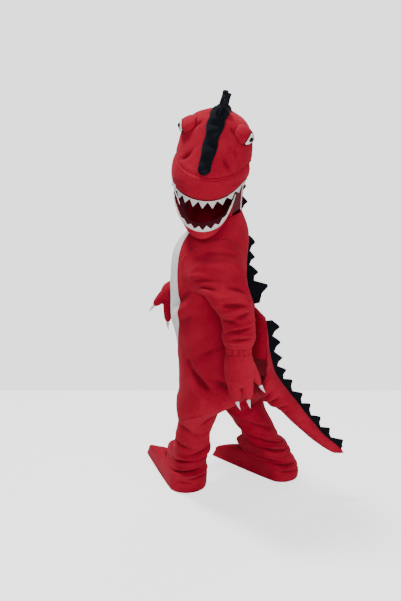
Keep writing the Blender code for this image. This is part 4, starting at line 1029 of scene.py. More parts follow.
def jawGrid():
    # The throat and the outside of the lower jaw, from the neck seam to the rim
    angles = np.linspace(math.radians(-jawRight), math.radians(jawLeft), jawColumnCount)
    places = np.linspace(0, len(jawTable) - 1, count(40))
    return [[jawPoint(place, angle) for angle in angles] for place in places]


# Pieces that lie on a panel: polar patches of the hood's own surface, moved out
browShape = dict(place=1.80, angle=math.radians(62), halfPlace=0.88, halfAngle=math.radians(23), height=0.019)
eyeShape = dict(place=2.02, angle=math.radians(61), halfPlace=0.34, halfAngle=math.radians(9), tilt=0.9)
pupilShape = dict(place=2.02, angle=math.radians(60.5), halfPlace=0.17, halfAngle=math.radians(4.0), tilt=0.4)
patchLift = 0.0007                # bare gap under a piece that lies on another
eyeThick = 0.0015


def browHeight(place, angle):
    # How far the padded brow stands off the hood
    across = (math.remainder(angle - browShape["angle"], 2 * math.pi)) / browShape["halfAngle"]
    along = (place - browShape["place"]) / browShape["halfPlace"]
    radius = math.hypot(across, along)
    return browShape["height"] * max(1 - radius ** 2, 0.0) ** 0.6


def patchGrid(shape, side, lift, rings, columns):
    # Rings round the middle of a patch, from its edge inwards; lift gives the height at a point
    tilt = shape.get("tilt", 0.0)
    rows = []
    for radius in np.linspace(1, 0, rings)[:-1]:
        row = []
        for turn in turns(columns):
            u = radius * math.cos(turn)
            v = radius * math.sin(turn)
            angle = shape["angle"] + shape["halfAngle"] * u
            place = shape["place"] + shape["halfPlace"] * v - tilt * u * shape["halfPlace"]
            row.append(hoodPoint(place, side * angle, lift(place, angle)))
        rows.append(row)
    middle = hoodPoint(shape["place"], side * shape["angle"], lift(shape["place"], shape["angle"]))
    return rows, middle


# Felt strips with spikes or teeth: a base line and a serrated edge
spikeProfile = [
    # share of the way along, share of the height
    (0.00, 0.00),
    (0.22, 0.55),
    (0.40, 0.95),
    (0.46, 1.00),
    (0.53, 0.93),
    (0.70, 0.34),
]
lobeProfile = [(0.00, 0.00), (0.10, 0.50), (0.22, 0.84), (0.36, 0.98), (0.50, 1.00), (0.64, 0.93),
               (0.80, 0.60)]
toothProfile = [(0.00, 0.00), (0.24, 0.46), (0.50, 1.00), (0.76, 0.46)]


def serrated(spikes, profile):
    # Stations (place, height) along a strip, from a table of spikes: start, valley height, tip height
    stations = []
    for (start, valley, tip), (end, nextValley, _) in zip(spikes, spikes[1:]):
        for along, share in profile:
            floor = valley + (nextValley - valley) * along
            stations.append((start + (end - start) * along, floor + (tip - floor) * share))
    stations.append(spikes[-1][:2])
    return stations


backFinTable = [
    # place (rows of the body's table), height of the valley, height of the tip
    (1.75, 0.006, 0.022),
    (2.55, 0.009, 0.026),
    (3.20, 0.011, 0.038),
    (4.00, 0.024, 0.060),
    (4.92, 0.020, 0.020),
]
tailFinFirst = (0.10, 0.018, 0.038)
tailSpikeCount = 10
tailStrip = 0.015
tailSpikeHeight = 0.036
tailFinEnd = 8.9
neckFinTable = [(0.04, 0.012, 0.034), (0.28, 0.012, 0.034), (0.52, 0.010, 0.028), (0.76, 0.008, 0.022),
                (0.96, 0.006, 0.006)]
crestFinTable = [(0.36, 0.008, 0.024), (0.43, 0.012, 0.036), (0.51, 0.014, 0.044), (0.59, 0.014, 0.044),
                 (0.68, 0.014, 0.040), (0.77, 0.012, 0.034), (0.87, 0.010, 0.026), (0.97, 0.008, 0.008)]
upperTeethCount = 12
lowerTeethCount = 9


def tailTop(place, lift=0.0):
    yTop, zTop, yLow, zLow, _ = readAt(tailTable, place)
    up = Vector((0, yTop - yLow, zTop - zLow)).normalized()
    return Vector((tailX, yTop, zTop)) + up * lift


def tailOut(place):
    before, after = tailTop(max(place - 0.1, 0)), tailTop(min(place + 0.1, len(tailTable) - 1))
    along = (after - before).normalized()
    return Vector((0, -along.z, along.y))


def tailFinTable():
    lengths = [0.0]
    samples = np.linspace(tailFinFirst[0], tailFinEnd, 120)
    for a, b in zip(samples, samples[1:]):
        lengths.append(lengths[-1] + (tailTop(b) - tailTop(a)).length)
    places = np.interp(np.linspace(0, lengths[-1], tailSpikeCount + 1), lengths, samples)
    table = [(place, tailStrip * (1 - 0.35 * i / tailSpikeCount),
              tailSpikeHeight * (1 - 0.25 * i / tailSpikeCount))
             for i, place in enumerate(places)]
    table[0] = (places[0],) + tailFinFirst[1:]
    return table


def midlinePoint(share, lift=0.0, aside=0.0):
    # A point of the hood's middle line: share 0 at the snout seam, 1 at the nape seam
    front = [(row[2], row[0]) for row in hoodTable[hoodSeamRow::-1]]
    back = [(-row[3], row[1]) for row in hoodTable[:hoodSeamRow + 1]]
    line = front + [hoodPole] + back
    place = share * (len(line) - 1)
    here = readAt(line, place)
    tangent = readAt(line, min(place + 0.05, len(line) - 1)) - readAt(line, max(place - 0.05, 0))
    outward = np.array([-tangent[1], tangent[0]]) / np.hypot(*tangent) * -1
    drop = aside ** 2 / (2 * 0.11)
    here = here + outward * (lift - drop)
    return headPoint(here[0], aside, here[1])


def midlineOut(share):
    return (midlinePoint(share, 0.01) - midlinePoint(share)).normalized()


crestHalf = 0.021
crestPad = 0.006
crestLumps = dict(along=0.42, small=0.20, edge=0.07, turns=58, smallTurns=97)
crestWide = dict(more=0.28, place=0.40, reach=0.16)
crestUnder = 0.0014         # between the crown and the band's under side


def crestGrid():
    rows = []
    for share in np.linspace(0.004, 0.98, count(110)):
        row = []
        for across in np.linspace(-1, 1, count(22)):
            end = max(abs(share - 0.5) - 0.40, 0.0) / 0.10
            wider = crestWide["more"] * math.exp(-((share - crestWide["place"]) / crestWide["reach"]) ** 2)
            half = crestHalf * math.sqrt(max(1 - end ** 2, 0.01)) * (1 + wider)
            lump = crestLumps["along"] * math.sin(share * crestLumps["turns"] + 1.3 * across)
            fine = crestLumps["small"] * math.sin(share * crestLumps["smallTurns"] - 2 * across)
            pad = crestPad * (1 - across ** 4) * (1 + lump + fine)
            half *= 1 + crestLumps["edge"] * math.sin(share * crestLumps["turns"] * 0.8)
            row.append(midlinePoint(share, patchLift + fleeceThick + crestUnder + pad, across * half))
        rows.append(row)
    return rows


def napeRoute(share, lift=0.0):
    # The seam of spikes runs from the back of the head round to the middle of the back
    angle = math.pi + share * (math.radians(90 + headTurn[0]) - math.pi)
    return napePoint(share, angle, lift)


def napeOut(share):
    inside = headPoint(0, 0, 0).lerp(Vector((0, 0.010, 0.027)), share)
    point = napeRoute(share)
    return Vector((point.x - inside.x, point.y - inside.y, 0.0)).normalized()


# Mouth lining: a shelf behind the lip and a shelf behind the jaw's rim, open to the head between them. Its
# dark red is painted shade on the hood's red fleece
palateEdge = (0.070, 0.080, -0.040)
palate = dict(lip=0.93, under=0.0012, arch=0.012)      # where it starts on the lip, how it curves up
throatInset = 0.0075
throatShy = 8               # degrees by which the lining ends before the jaw
throatPlaces = (0.6, 4.8)
mouthMiddle = (0.060, 0.0, -0.110)
liningThick = 0.0015


def palateGrid():
    corner = math.radians(mouthCorner - 4)
    rows = []
    for share in np.linspace(0, 1, count(20)):
        row = []
        for angle in np.linspace(-corner, corner, count(56)):
            edge = lipPoint(palate["lip"], angle, -fleeceThick - palate["under"])
            inner = headPoint(palateEdge[0] * math.cos(angle), palateEdge[1] * math.sin(angle), palateEdge[2])
            arch = headAxes(*headTurn)[2] * palate["arch"] * math.sin(math.pi * share)
            row.append(edge.lerp(inner, share) + arch)
        rows.append(row)
    return rows


def throatGrid():
    # The lining of the lower jaw: the jaw's own points moved towards the middle of the mouth
    middle = headPoint(*mouthMiddle)
    rows = []
    angles = np.linspace(math.radians(throatShy - jawRight), math.radians(jawLeft - throatShy), count(48))
    for place in np.linspace(throatPlaces[0], throatPlaces[1], count(24)):
        row = []
        for angle in angles:
            point = jawPoint(place, angle)
            row.append(point + (middle - point).normalized() * throatInset)
        rows.append(row)
    return rows


# Gloves and their claws
gloveSwing = 90             # degrees, the same all along a glove
gloveRows = {
    # distance out, y, z, bend forward (degrees), half front to back, half thickness
    "left": dict(
        palm=[
            (0.198, 0.0732, -0.3236, 0, 0.0350, 0.0310), (0.198, 0.0740, -0.345, 0, 0.0405, 0.0320),
            (0.198, 0.0755, -0.375, 0, 0.0420, 0.0300), (0.198, 0.0770, -0.400, -4, 0.0390, 0.0260),
            (0.198, 0.0790, -0.416, -6, 0.0280, 0.0190), (0.198, 0.0800, -0.424, -6, 0.0120, 0.0080),
        ],
        fingerFront=[
            (0.198, 0.0580, -0.385, -6, 0.0150, 0.0150), (0.198, 0.0600, -0.405, -6, 0.0190, 0.0180),
            (0.198, 0.0630, -0.430, -8, 0.0180, 0.0170), (0.198, 0.0675, -0.452, -12, 0.0135, 0.0130),
            (0.198, 0.0700, -0.463, -12, 0.0060, 0.0060),
        ],
        fingerBack=[
            (0.198, 0.0940, -0.385, -4, 0.0150, 0.0150), (0.198, 0.0960, -0.405, -4, 0.0185, 0.0175),
            (0.198, 0.0985, -0.428, -5, 0.0170, 0.0165), (0.198, 0.1010, -0.448, -6, 0.0130, 0.0125),
            (0.198, 0.1020, -0.458, -6, 0.0060, 0.0060),
        ],
        thumb=[
            (0.190, 0.0980, -0.345, -22, 0.0120, 0.0120), (0.190, 0.1060, -0.362, -22, 0.0150, 0.0145),
            (0.190, 0.1200, -0.390, -24, 0.0130, 0.0125), (0.190, 0.1300, -0.410, -26, 0.0090, 0.0090),
            (0.190, 0.1345, -0.419, -26, 0.0040, 0.0040),
        ],
    ),
    "right": dict(
        palm=[
            (0.175, -0.1092, -0.2180, 98, 0.0320, 0.0300), (0.174, -0.1230, -0.2200, 92, 0.0335, 0.0310),
            (0.173, -0.1340, -0.2300, 58, 0.0340, 0.0290), (0.172, -0.1390, -0.2470, 32, 0.0290, 0.0230),
            (0.172, -0.1425, -0.2580, 20, 0.0130, 0.0100),
        ],
        fingerFront=[
            (0.172, -0.1340, -0.2180, 45, 0.0140, 0.0150), (0.172, -0.1460, -0.2300, 45, 0.0175, 0.0170),
            (0.172, -0.1620, -0.2470, 45, 0.0165, 0.0160), (0.172, -0.1770, -0.2630, 44, 0.0120, 0.0120),
            (0.172, -0.1850, -0.2710, 44, 0.0055, 0.0055),
        ],
        fingerBack=[
            (0.170, -0.1360, -0.2420, 6, 0.0140, 0.0150), (0.170, -0.1370, -0.2600, 5, 0.0175, 0.0170),
            (0.170, -0.1385, -0.2870, 4, 0.0165, 0.0160), (0.170, -0.1400, -0.3130, 3, 0.0120, 0.0120),
            (0.170, -0.1405, -0.3260, 3, 0.0055, 0.0055),
        ],
        thumb=[
            (0.182, -0.1310, -0.2350, -8, 0.0110, 0.0110), (0.183, -0.1290, -0.2520, -10, 0.0135, 0.0130),
            (0.184, -0.1250, -0.2740, -12, 0.0115, 0.0110), (0.184, -0.1220, -0.2900, -12, 0.0050, 0.0050),
        ],
    ),
}
gloveTables = {side: {limb: [(*row[:3], gloveSwing, *row[3:]) for row in rows]
                      for limb, rows in limbs.items()}
               for side, limbs in gloveRows.items()}


def bellyGrid():
    # The front panel down to its point; its last rows end before the red halves meet
    places = [place for place in np.linspace(0, len(bodyTable) - 1, bodyRowCount) if place <= bellyLast]
    rows = []
    shares = np.linspace(-1, 1, bellyColumnCount)
    for place in places:
        half = bellyEdge(place) - seamAngle(place)
        rows.append([bodyPoint(place, -math.pi / 2 + half * share) for share in shares])
    return rows, bodyPoint(bellyTip, -math.pi / 2)


# Pieces

def armholePlug(name, side):
    # Cuts the armhole out of the body's wall, a little narrower than the sleeve's end
    rings = [[armholePoint(turn, side, 0.0, out) for turn in turns(armColumnCount)] for out in (0.03, -0.03)]
    mesh = bpy.data.meshes.new(name)
    bm = bmesh.new()
    verts = [[bm.verts.new(point) for point in ring] for ring in rings]
    for i in range(armColumnCount):
        j = (i + 1) % armColumnCount
        bm.faces.new((verts[0][i], verts[0][j], verts[1][j], verts[1][i]))
    heart = bodyPoint(armholePlace, 0 if side > 0 else math.pi)
    for ring, out in zip(verts, (0.03, -0.06)):
        middle = bm.verts.new(heart + Vector((side * out, 0, 0)))
        for i in range(armColumnCount):
            bm.faces.new((ring[i], ring[(i + 1) % armColumnCount], middle))
    bmesh.ops.recalc_face_normals(bm, faces=bm.faces)
    bm.to_mesh(mesh)
    bm.free()
    return newPiece(name, mesh)


def drop(piece):
    mesh = piece.data
    bpy.data.objects.remove(piece, do_unlink=True)
    bpy.data.meshes.remove(mesh)


made = {}
for name, side in (("left", 1), ("right", -1)):
    plug = armholePlug("armholePlug", side)
    bpy.context.view_layer.update()
    made["body_" + name] = clothPiece(
        "body_%s_cloth" % name, [(bodyGrid(side), False, None), (legGrid(name, side), True, None)],
        "redFleece", ["body_" + name], insideOut=side > 0, plug=plug)
    drop(plug)
    made["foot_" + name] = clothPiece(
        "foot_cover_%s_cloth" % name, [(footGrid(name, side), True, None)], "redFleece",
        ["foot_cover_" + name], insideOut=side > 0)
    made["sleeve_" + name] = clothPiece(
        "sleeve_%s_cloth" % name, [(sleeveGrid(name, side), True, None)], "redFleece", ["sleeve_" + name],
        insideOut=side < 0, roll=0.0010)
    made["cuff_" + name] = clothPiece(
        "cuff_%s_cloth" % name, [(cuffGrid(name, side), True, None)], "redFleece", ["cuff_" + name],
        insideOut=side < 0, roll=0.0010, rollWidth=0.002, amount=0.0004)
print("body, legs and sleeves made")

rows, tip = bellyGrid()
made["belly"] = clothPiece("belly_cloth", [(rows, False, tip)], "whiteFelt", ["belly_panel"], insideOut=True)
tip = Vector((tailX, *tailTip))
made["tail"] = clothPiece("tail_cloth", [(tailGrid(), True, tip)], "redFleece", ["tail"], insideOut=True,
                          amount=0.0012)
print("belly panel and tail made")

pole = headPoint(hoodPole[0], 0, hoodPole[1])
made["crown"] = clothPiece("hood_crown_cloth", [(crownGrid(), True, pole)], "redFleece", ["hood_crown"],
                           amount=0.0009, roll=0.0022, rollWidth=0.006)
made["lip"] = clothPiece("lip_band_cloth", [(lipGrid(), False, None)], "redFleece", ["lip_band"],
                         insideOut=True, amount=0.0008, roll=0.0022, rollWidth=0.006)
made["nape"] = clothPiece("nape_cloth", [(napeGrid(), False, None)], "redFleece", ["nape"], insideOut=True)
made["jaw"] = clothPiece("lower_jaw_cloth", [(jawGrid(), False, None)], "redFleece", ["lower_jaw"],
                         even=False, amount=0.0007)
made["palate"] = clothPiece("palate_cloth", [(palateGrid(), False, None)], "shadedRedLining", ["palate_lining"],
                            thickness=liningThick, amount=0.0012, scale=40)
made["throat"] = clothPiece("throat_cloth", [(throatGrid(), False, None)], "shadedRedLining", ["throat_lining"],
                            thickness=liningThick, even=False, amount=0.0008, scale=40)
print("hood made")

# Padded brows and felt eyes on them. A thin black felt ring, a little wider than each eye and lying under it,
# is painted shadow round the white of the eye.
eyeShadowShape = dict(eyeShape, halfPlace=eyeShape["halfPlace"] * 1.13, halfAngle=eyeShape["halfAngle"] * 1.13)
eyeLow = 2 * patchLift + fleeceThick + eyeThick
patches = [
    # key, name, shape, height over the hood, rings, columns, cloth, CAD node, finish
    ("brow", "brow_%s_cloth", browShape, patchLift + fleeceThick, 22, 72, "redFleece", "brow_",
     dict(amount=0.0004, roll=0.0006, rollWidth=0.003)),
    ("eye", "eye_%s_felt", eyeShape, eyeLow, 10, 48, "whiteFelt", "eye_",
     dict(thickness=eyeThick, amount=0.0001, roll=0.0004, rollWidth=0.0012)),
    ("pupil", "pupil_%s_felt", pupilShape, eyeLow + patchLift + eyeThick, 8, 36, "blackFelt", "pupil_",
     dict(thickness=eyeThick, amount=0.0001, roll=0.0003, rollWidth=0.001)),
    # Painted shadow: a black ring under the eye's edge
    ("eyeShadow", "eye_rim_%s_felt", eyeShadowShape, 2 * patchLift + fleeceThick + 0.0006, 8, 48, "blackFelt", None,
     dict(thickness=0.0008, amount=0.0, roll=0.0, rollWidth=0.001)),
]
for batch in (patches[:3], patches[3:]):
    for name, side in (("left", 1), ("right", -1)):
        for key, title, shape, high, rings, columns, cloth, node, finish in batch:
            rows, middle = patchGrid(shape, side, lambda p, a: high + browHeight(p, a), count(rings),
                                     count(columns))
            made[key + "_" + name] = clothPiece(title % name, [(rows, True, middle)], cloth,
                                                [node + name] if node else [], insideOut=side > 0, **finish)


spikeLean = dict(scale=24, height=0.04, power=1.5)


def feltStrip(name, table, profile, base, outward, cloth, nodes, thickness=feltThick, sway=0.0, levels=7,
              seed=1):
    # A strip with a serrated edge; each spike leans a little to one side
    stations = serrated(table, profile)
    rows = []
    for level in np.linspace(0, 1, levels):
        row = []
        for place, height in stations:
            foot = base(place)
            up = outward(place)
            step = 0.01 * (table[-1][0] - table[0][0])
            along = (base(place + step) - base(place - step)).normalized()
            aside = up.cross(along).normalized()
            bent = (level * height / spikeLean["height"]) ** spikeLean["power"]
            lean = noise.noise(foot * spikeLean["scale"] + Vector((seed, 0, 0))) * sway * bent
            row.append(foot + up * height * level + aside * lean)
        rows.append(row)
    return clothPiece(name, [(rows, False, None)], cloth, nodes, thickness=thickness, middle=True,
                      roll=0.0, amount=0.0003, scale=60)


up = headAxes(*headTurn)[2]
corner = math.radians(mouthCorner - 3)


def upperBase(angle):
    return lipPoint(1.0, angle, -0.001) - up * 0.0006


def lowerBase(angle):
    return jawRim(angle, 0.001) + Vector((0, 0, 0.0024))


def squareTo(base, angle, way):
    along = (base(angle + 0.02) - base(angle - 0.02)).normalized()
    return (way - along * way.dot(along)).normalized()


def lowerOut(angle):
    return squareTo(lowerBase, angle, Vector((math.cos(angle) * 0.45, math.sin(angle) * 0.45, 1)))


def upperOut(angle):
    return squareTo(upperBase, angle, -up)


teeth = dict(valley=0.0015, upper=0.012, upperMiddle=0.010, lower=0.008, lowerMiddle=0.006, uneven=0.25,
             thickness=0.0022, sway=0.002)
finSink = -0.0030           # the fins' bases lie in the cloth


def toothTable(angles, height, middle, seed):
    table = []
    for a in angles:
        vary = 1 + teeth["uneven"] * noise.noise(Vector((a * 5, seed, 0)))
        table.append((a, teeth["valley"], (height + middle * math.cos(a)) * vary))
    return table


upper = toothTable(np.linspace(-corner, corner, upperTeethCount + 1), teeth["upper"],
                   teeth["upperMiddle"], 2.0)
lower = toothTable(np.radians(np.linspace(6 - jawRight, jawLeft - 6, lowerTeethCount + 1)),
                   teeth["lower"], teeth["lowerMiddle"], 5.0)
made["upperTeeth"] = feltStrip("upper_teeth_felt", upper, toothProfile, upperBase, upperOut, "whiteFelt",
                               ["upper_teeth"], teeth["thickness"], teeth["sway"])
made["lowerTeeth"] = feltStrip("lower_teeth_felt", lower, toothProfile, lowerBase, lowerOut, "whiteFelt",
                               ["lower_teeth"], teeth["thickness"], teeth["sway"])
made["backFin"] = feltStrip("back_fin_felt", backFinTable, spikeProfile,
                            lambda p: bodyPoint(p, math.pi / 2, finSink),
                            lambda p: bodyNormal(p, math.pi / 2), "blackFelt", ["back_fin"], sway=0.006)
made["tailFin"] = feltStrip("tail_fin_felt", tailFinTable(), spikeProfile,
                            lambda p: tailTop(p, finSink), tailOut,
                            "blackFelt", ["tail_fin"], sway=0.008, seed=4)
made["neckSpikes"] = feltStrip("neck_spikes_felt", neckFinTable, spikeProfile,
                               lambda p: napeRoute(p, finSink),
                               napeOut, "blackFelt", ["neck_spikes"], sway=0.006, seed=7)
crestLift = patchLift + fleeceThick + crestPad + 0.0022
made["crestSpikes"] = feltStrip("crest_spikes_felt", crestFinTable, lobeProfile,
                                lambda p: midlinePoint(p, crestLift - 0.006), midlineOut, "blackFelt",
                                ["crest_spikes"], thickness=0.0100, sway=0.016, seed=9)
made["crestBand"] = clothPiece("crest_band_cloth", [(crestGrid(), False, None)], "blackFelt", ["crest_band"],
                               amount=0.0022, scale=55, roll=0.0030, rollWidth=0.005)
print("felt made")


# The lining closes the sides of the mouth, from the jaw's ends to the front edges of the nape
web = dict(start=0.06, end=0.97, under=-0.002, inward=0.003)


def webGrid(side):
    end = math.radians(jawLeft if side > 0 else -jawRight)
    rows = []
    for rise in np.linspace(web["start"], web["end"], count(36)):
        low = jawPoint(rise * (len(jawTable) - 1), end)
        high = napePoint(1 - rise, side * napeStart(1 - rise), web["under"])
        inward = (headPoint(*mouthMiddle) - low).normalized() * web["inward"]
        rows.append([(low + inward).lerp(high, share) for share in np.linspace(0.02, 0.98, count(24))])
    return rows


for name, side in (("left", 1), ("right", -1)):
    made["web_" + name] = clothPiece("mouth_side_%s_cloth" % name, [(webGrid(side), False, None)],
                                     "shadedRedLining", [], thickness=liningThick, even=False, middle=True,
                                     amount=0.0008, scale=30, roll=0.0)


# White piping along the lip, the jaw's rim and the sides of the mouth
piping = dict(radius=0.0015, columns=10, steps=170)


def addTube(bm, rings, first, last):
    verts = [[bm.verts.new(point) for point in ring] for ring in rings]
    total = len(rings[0])
    faces = []
    for low, high in zip(verts, verts[1:]):
        for i in range(total):
            j = (i + 1) % total
            faces.append(bm.faces.new((low[i], low[j], high[j], high[i])))
    for ring, point in ((verts[0], first), (verts[-1], last)):
        end = bm.verts.new(point)
        for i in range(total):
            faces.append(bm.faces.new((ring[i], ring[(i + 1) % total], end)))
    bmesh.ops.recalc_face_normals(bm, faces=faces)


def tubePiece(name, rings, first, last, cloth, nodes):
    mesh = bpy.data.meshes.new(name)
    bm = bmesh.new()
    addTube(bm, rings, first, last)
    bm.to_mesh(mesh)
    bm.free()
    mesh.shade_smooth()
    markCreaseShade(mesh)
    piece = newPiece(name, mesh)
    register(piece, cloth, nodes)
    return piece


def cordPiece(name, points):
    rings = []
    for i, point in enumerate(points):
        along = (points[min(i + 1, len(points) - 1)] - points[max(i - 1, 0)]).normalized()
        aside = along.cross(Vector((0.3, 0.2, 0.9))).normalized()
        upward = along.cross(aside)
        rings.append([point + (aside * math.cos(turn) + upward * math.sin(turn)) * piping["radius"]
                      for turn in turns(piping["columns"])])
    return tubePiece(name, rings, points[0], points[-1], "whiteFelt", [])


steps = count(piping["steps"])
span = np.linspace(-math.radians(mouthCorner - 1), math.radians(mouthCorner - 1), steps)
made["lipPiping"] = cordPiece("lip_piping", [lipPoint(1.0, a, 0.0006) - up * 0.0014 for a in span])
span = np.radians(np.linspace(1 - jawRight, jawLeft - 1, steps))
made["jawPiping"] = cordPiece("jaw_piping", [jawRim(a, -0.0006) + Vector((0, 0, 0.0012)) for a in span])
for name, side in (("left", 1), ("right", -1)):
    edge = [napeEdge(share, side) for share in np.linspace(0.04, 0.96, steps // 2)]
    made["sidePiping_" + name] = cordPiece("side_piping_" + name, edge)
print("piping made")


# Gloves: palm, fingers and thumb run together, then opened at the wrist
gloveLook = dict(voxel=0.0022, smooth=10, ringsBetween=5, columns=28, wrist=0.0002)
fingerTip = 0.35            # how far a tip stands out, as a share of its last row's half width


def limbRings(table, side):
    rows = spread(table, (len(table) - 1) * gloveLook["ringsBetween"] + 1)
    return [armRing(row, side, gloveLook["columns"]) for row in rows]


def middleOf(ring):
    return sum(ring, Vector()) / len(ring)


def tipOf(table, rings, side):
    end = table[-1]
    return middleOf(rings[-1]) + armAxes(end[3], end[4], side)[0] * fingerTip * end[5]


def glovePiece(name, side):
    tables = gloveTables[name]
    mesh = bpy.data.meshes.new("glove")
    bm = bmesh.new()
    for limb in ("palm", "fingerFront", "fingerBack", "thumb"):
        table = tables[limb]
        rings = limbRings(table, side)
        if limb == "palm":
            start = [armRing(table[0], side, gloveLook["columns"], ahead=-0.010)]
            rings = start + rings
        addTube(bm, rings, middleOf(rings[0]), tipOf(table, rings, side))
    bm.to_mesh(mesh)
    bm.free()
    piece = newPiece("glove_%s_cloth" % name, mesh)
    remesh = piece.modifiers.new("together", "REMESH")
    remesh.mode = "VOXEL"
    remesh.voxel_size = gloveLook["voxel"] / 1
    soften = piece.modifiers.new("soften", "SMOOTH")
    soften.factor = 0.5
    soften.iterations = gloveLook["smooth"]
    plainMesh(piece)
    first = tables["palm"][0]
    along = armAxes(first[3], first[4], side)[0]
    wrist = Vector((side * first[0], first[1], first[2])) + along * gloveLook["wrist"]
    bm = bmesh.new()
    bm.from_mesh(piece.data)
    geometry = bm.verts[:] + bm.edges[:] + bm.faces[:]
    bmesh.ops.bisect_plane(bm, geom=geometry, plane_co=wrist, plane_no=along, clear_inner=True)
    bm.to_mesh(piece.data)
    bm.free()
    rumple(piece.data, roll=0.0008, rollWidth=0.003, amount=0.0009, scale=30)
    markCreaseShade(piece.data)
    wall = piece.modifiers.new("thickness", "SOLIDIFY")
    wall.thickness = fleeceThick
    wall.offset = -1.0
    wall.use_rim = True
    plainMesh(piece)
    piece.data.shade_smooth()
    register(piece, "redFleece", ["glove_" + name])
    made["glove_" + name] = piece
    for number, limb in enumerate(("fingerFront", "fingerBack", "thumb"), 1):
        clawPiece(name, side, number, tables[limb])


clawLook = dict(length=0.026, radius=0.0058, gap=0.0004, curve=0.004, rings=14, columns=20)


def clawPiece(name, side, number, table):
    end = table[-1]
    along, back, _ = armAxes(end[3], end[4], side)
    centre = Vector((side * end[0], end[1], end[2])) + along * (fingerTip * end[5] + clawLook["gap"])
    rings = []
    for share in np.linspace(0, 0.97, clawLook["rings"]):
        radius = clawLook["radius"] * (1 - share) ** 0.8 * min(1.0, 0.75 + share * 4)
        place = centre + along * clawLook["length"] * share + back * clawLook["curve"] * share ** 2
        rings.append([place + back * radius * math.cos(turn)
                      + Vector((side, 0, 0)) * 0.8 * radius * math.sin(turn)
                      for turn in turns(clawLook["columns"])])
    tip = centre + along * clawLook["length"] + back * clawLook["curve"]
    claw = "claw_%s_%d" % (name, number)
    made[claw] = tubePiece(claw + "_felt", rings, centre, tip, "whiteFelt", [claw])


for name, side in (("left", 1), ("right", -1)):
    glovePiece(name, side)
print("gloves made")


# Stitches: short threads laid along the seams, by geometry nodes
stitchLook = dict(length=0.0034, gap=0.0046, radius=0.00042, sides=5)


def stitchGroup():
    group = bpy.data.node_groups.new("stitchRow", "GeometryNodeTree")
    group.interface.new_socket(name="Seam", in_out="INPUT", socket_type="NodeSocketGeometry")
    socketsOf(group, [("Spacing", "NodeSocketFloat", stitchLook["gap"]),
                      ("Length", "NodeSocketFloat", stitchLook["length"]),
                      ("Radius", "NodeSocketFloat", stitchLook["radius"])], [])
    group.interface.new_socket(name="Thread", in_out="INPUT", socket_type="NodeSocketMaterial")
    group.interface.new_socket(name="Stitches", in_out="OUTPUT", socket_type="NodeSocketGeometry")
    start = addNode(group, "NodeGroupInput", (-900, 0))
    end = addNode(group, "NodeGroupOutput", (900, 0))
    line = addNode(group, "GeometryNodeMeshToCurve", (-650, 200))
    places = addNode(group, "GeometryNodeResampleCurve", (-450, 200), mode="LENGTH")
    tangent = addNode(group, "GeometryNodeInputTangent", (-450, -100))
    turn = addNode(group, "FunctionNodeAlignRotationToVector", (-250, -100), axis="Z")
    thread = addNode(group, "GeometryNodeMeshCylinder", (-450, -300))
    thread.inputs["Vertices"].default_value = stitchLook["sides"]
    lay = addNode(group, "GeometryNodeInstanceOnPoints", (0, 100))
    realize = addNode(group, "GeometryNodeRealizeInstances", (300, 100))
    paint = addNode(group, "GeometryNodeSetMaterial", (600, 100))
    join(group, [
        (start, "Seam", line, "Mesh"), (line, "Curve", places, "Curve"),
        (start, "Spacing", places, "Length"), (start, "Length", thread, "Depth"),
        (start, "Radius", thread, "Radius"), (tangent, "Tangent", turn, "Vector"),
        (places, "Curve", lay, "Points"), (thread, "Mesh", lay, "Instance"),
        (turn, "Rotation", lay, "Rotation"), (lay, "Instances", realize, "Geometry"),
        (realize, "Geometry", paint, "Geometry"), (start, "Thread", paint, "Material"),
        (paint, "Geometry", end, "Stitches"),
    ])
    return group


stitchRow = stitchGroup()


def onCloth(piece, points, lift):
    # Points laid on a finished piece's outer face
    tree = BVHTree.FromPolygons([v.co for v in piece.data.vertices],
                                [p.vertices[:] for p in piece.data.polygons])
    out = []
    for point, outward in points:
        hit = tree.ray_cast(point + outward * 0.03, -outward, 0.06)
        if hit[0] is not None:
            out.append(hit[0] + hit[1] * lift)
    return out


def stitches(name, piece, points, cloth):
    line = onCloth(piece, points, stitchLook["radius"] * 0.5)
    mesh = bpy.data.meshes.new(name)
    mesh.from_pydata(line, [(i, i + 1) for i in range(len(line) - 1)], [])
    row = newPiece(name, mesh)
    nodes = row.modifiers.new("stitches", "NODES")
    nodes.node_group = stitchRow
    sockets = {item.name: item.identifier for item in stitchRow.interface.items_tree
               if item.in_out == "INPUT"}
    nodes[sockets["Spacing"]] = stitchLook["gap"]
    nodes[sockets["Length"]] = stitchLook["length"]
    nodes[sockets["Radius"]] = stitchLook["radius"]
    nodes[sockets["Thread"]] = materials[cloth]
    plainMesh(row)
    # The stitches carry the painted crease shade attribute at zero, so no shade is painted on them
    row.data.attributes.new("creaseShade", "FLOAT", "POINT")
    register(row, cloth, [])
    made[name] = row


seam = dict(aside=0.005, steps=160)
for name, side in (("left", 1), ("right", -1)):
    ring = turns(seam["steps"])
    sleeveRing = []
    for turn in ring + ring[:1]:
        place = armholePlace - armholeHalfRows * math.sin(turn)
        angle = armholeHalfAngle * math.cos(turn)
        outward = bodyNormal(place, angle if side > 0 else math.pi - angle)
        sleeveRing.append((armholePoint(turn, side, armholeLap - 0.05, 0.008), outward))
    stitches("armhole_stitches_" + name, made["sleeve_" + name], sleeveRing, "redThread")
    edge = []
    for place in np.linspace(0.15, bellyLast - 0.4, seam["steps"]):
        aside = seam["aside"] / readAt(bodyTable, place)[4]
        angle = -math.pi / 2 + bellyEdge(place) + seamAngle(place) + aside
        angle = angle if side > 0 else math.pi - angle
        edge.append((bodyPoint(place, angle), bodyNormal(place, angle)))
    stitches("front_stitches_" + name, made["body_" + name], edge, "redThread")
span = np.linspace(-math.radians(mouthCorner - 3), math.radians(mouthCorner - 3), seam["steps"])
for name, share, ahead in (("lip_seam_stitches", 0.10, 0.3), ("lip_edge_stitches", 0.90, 2.7)):
    line = [(lipPoint(share, a), hoodNormal(hoodSeamRow + ahead, a)) for a in span]
    stitches(name, made["lip"], line, "redThread")
print("stitches made")
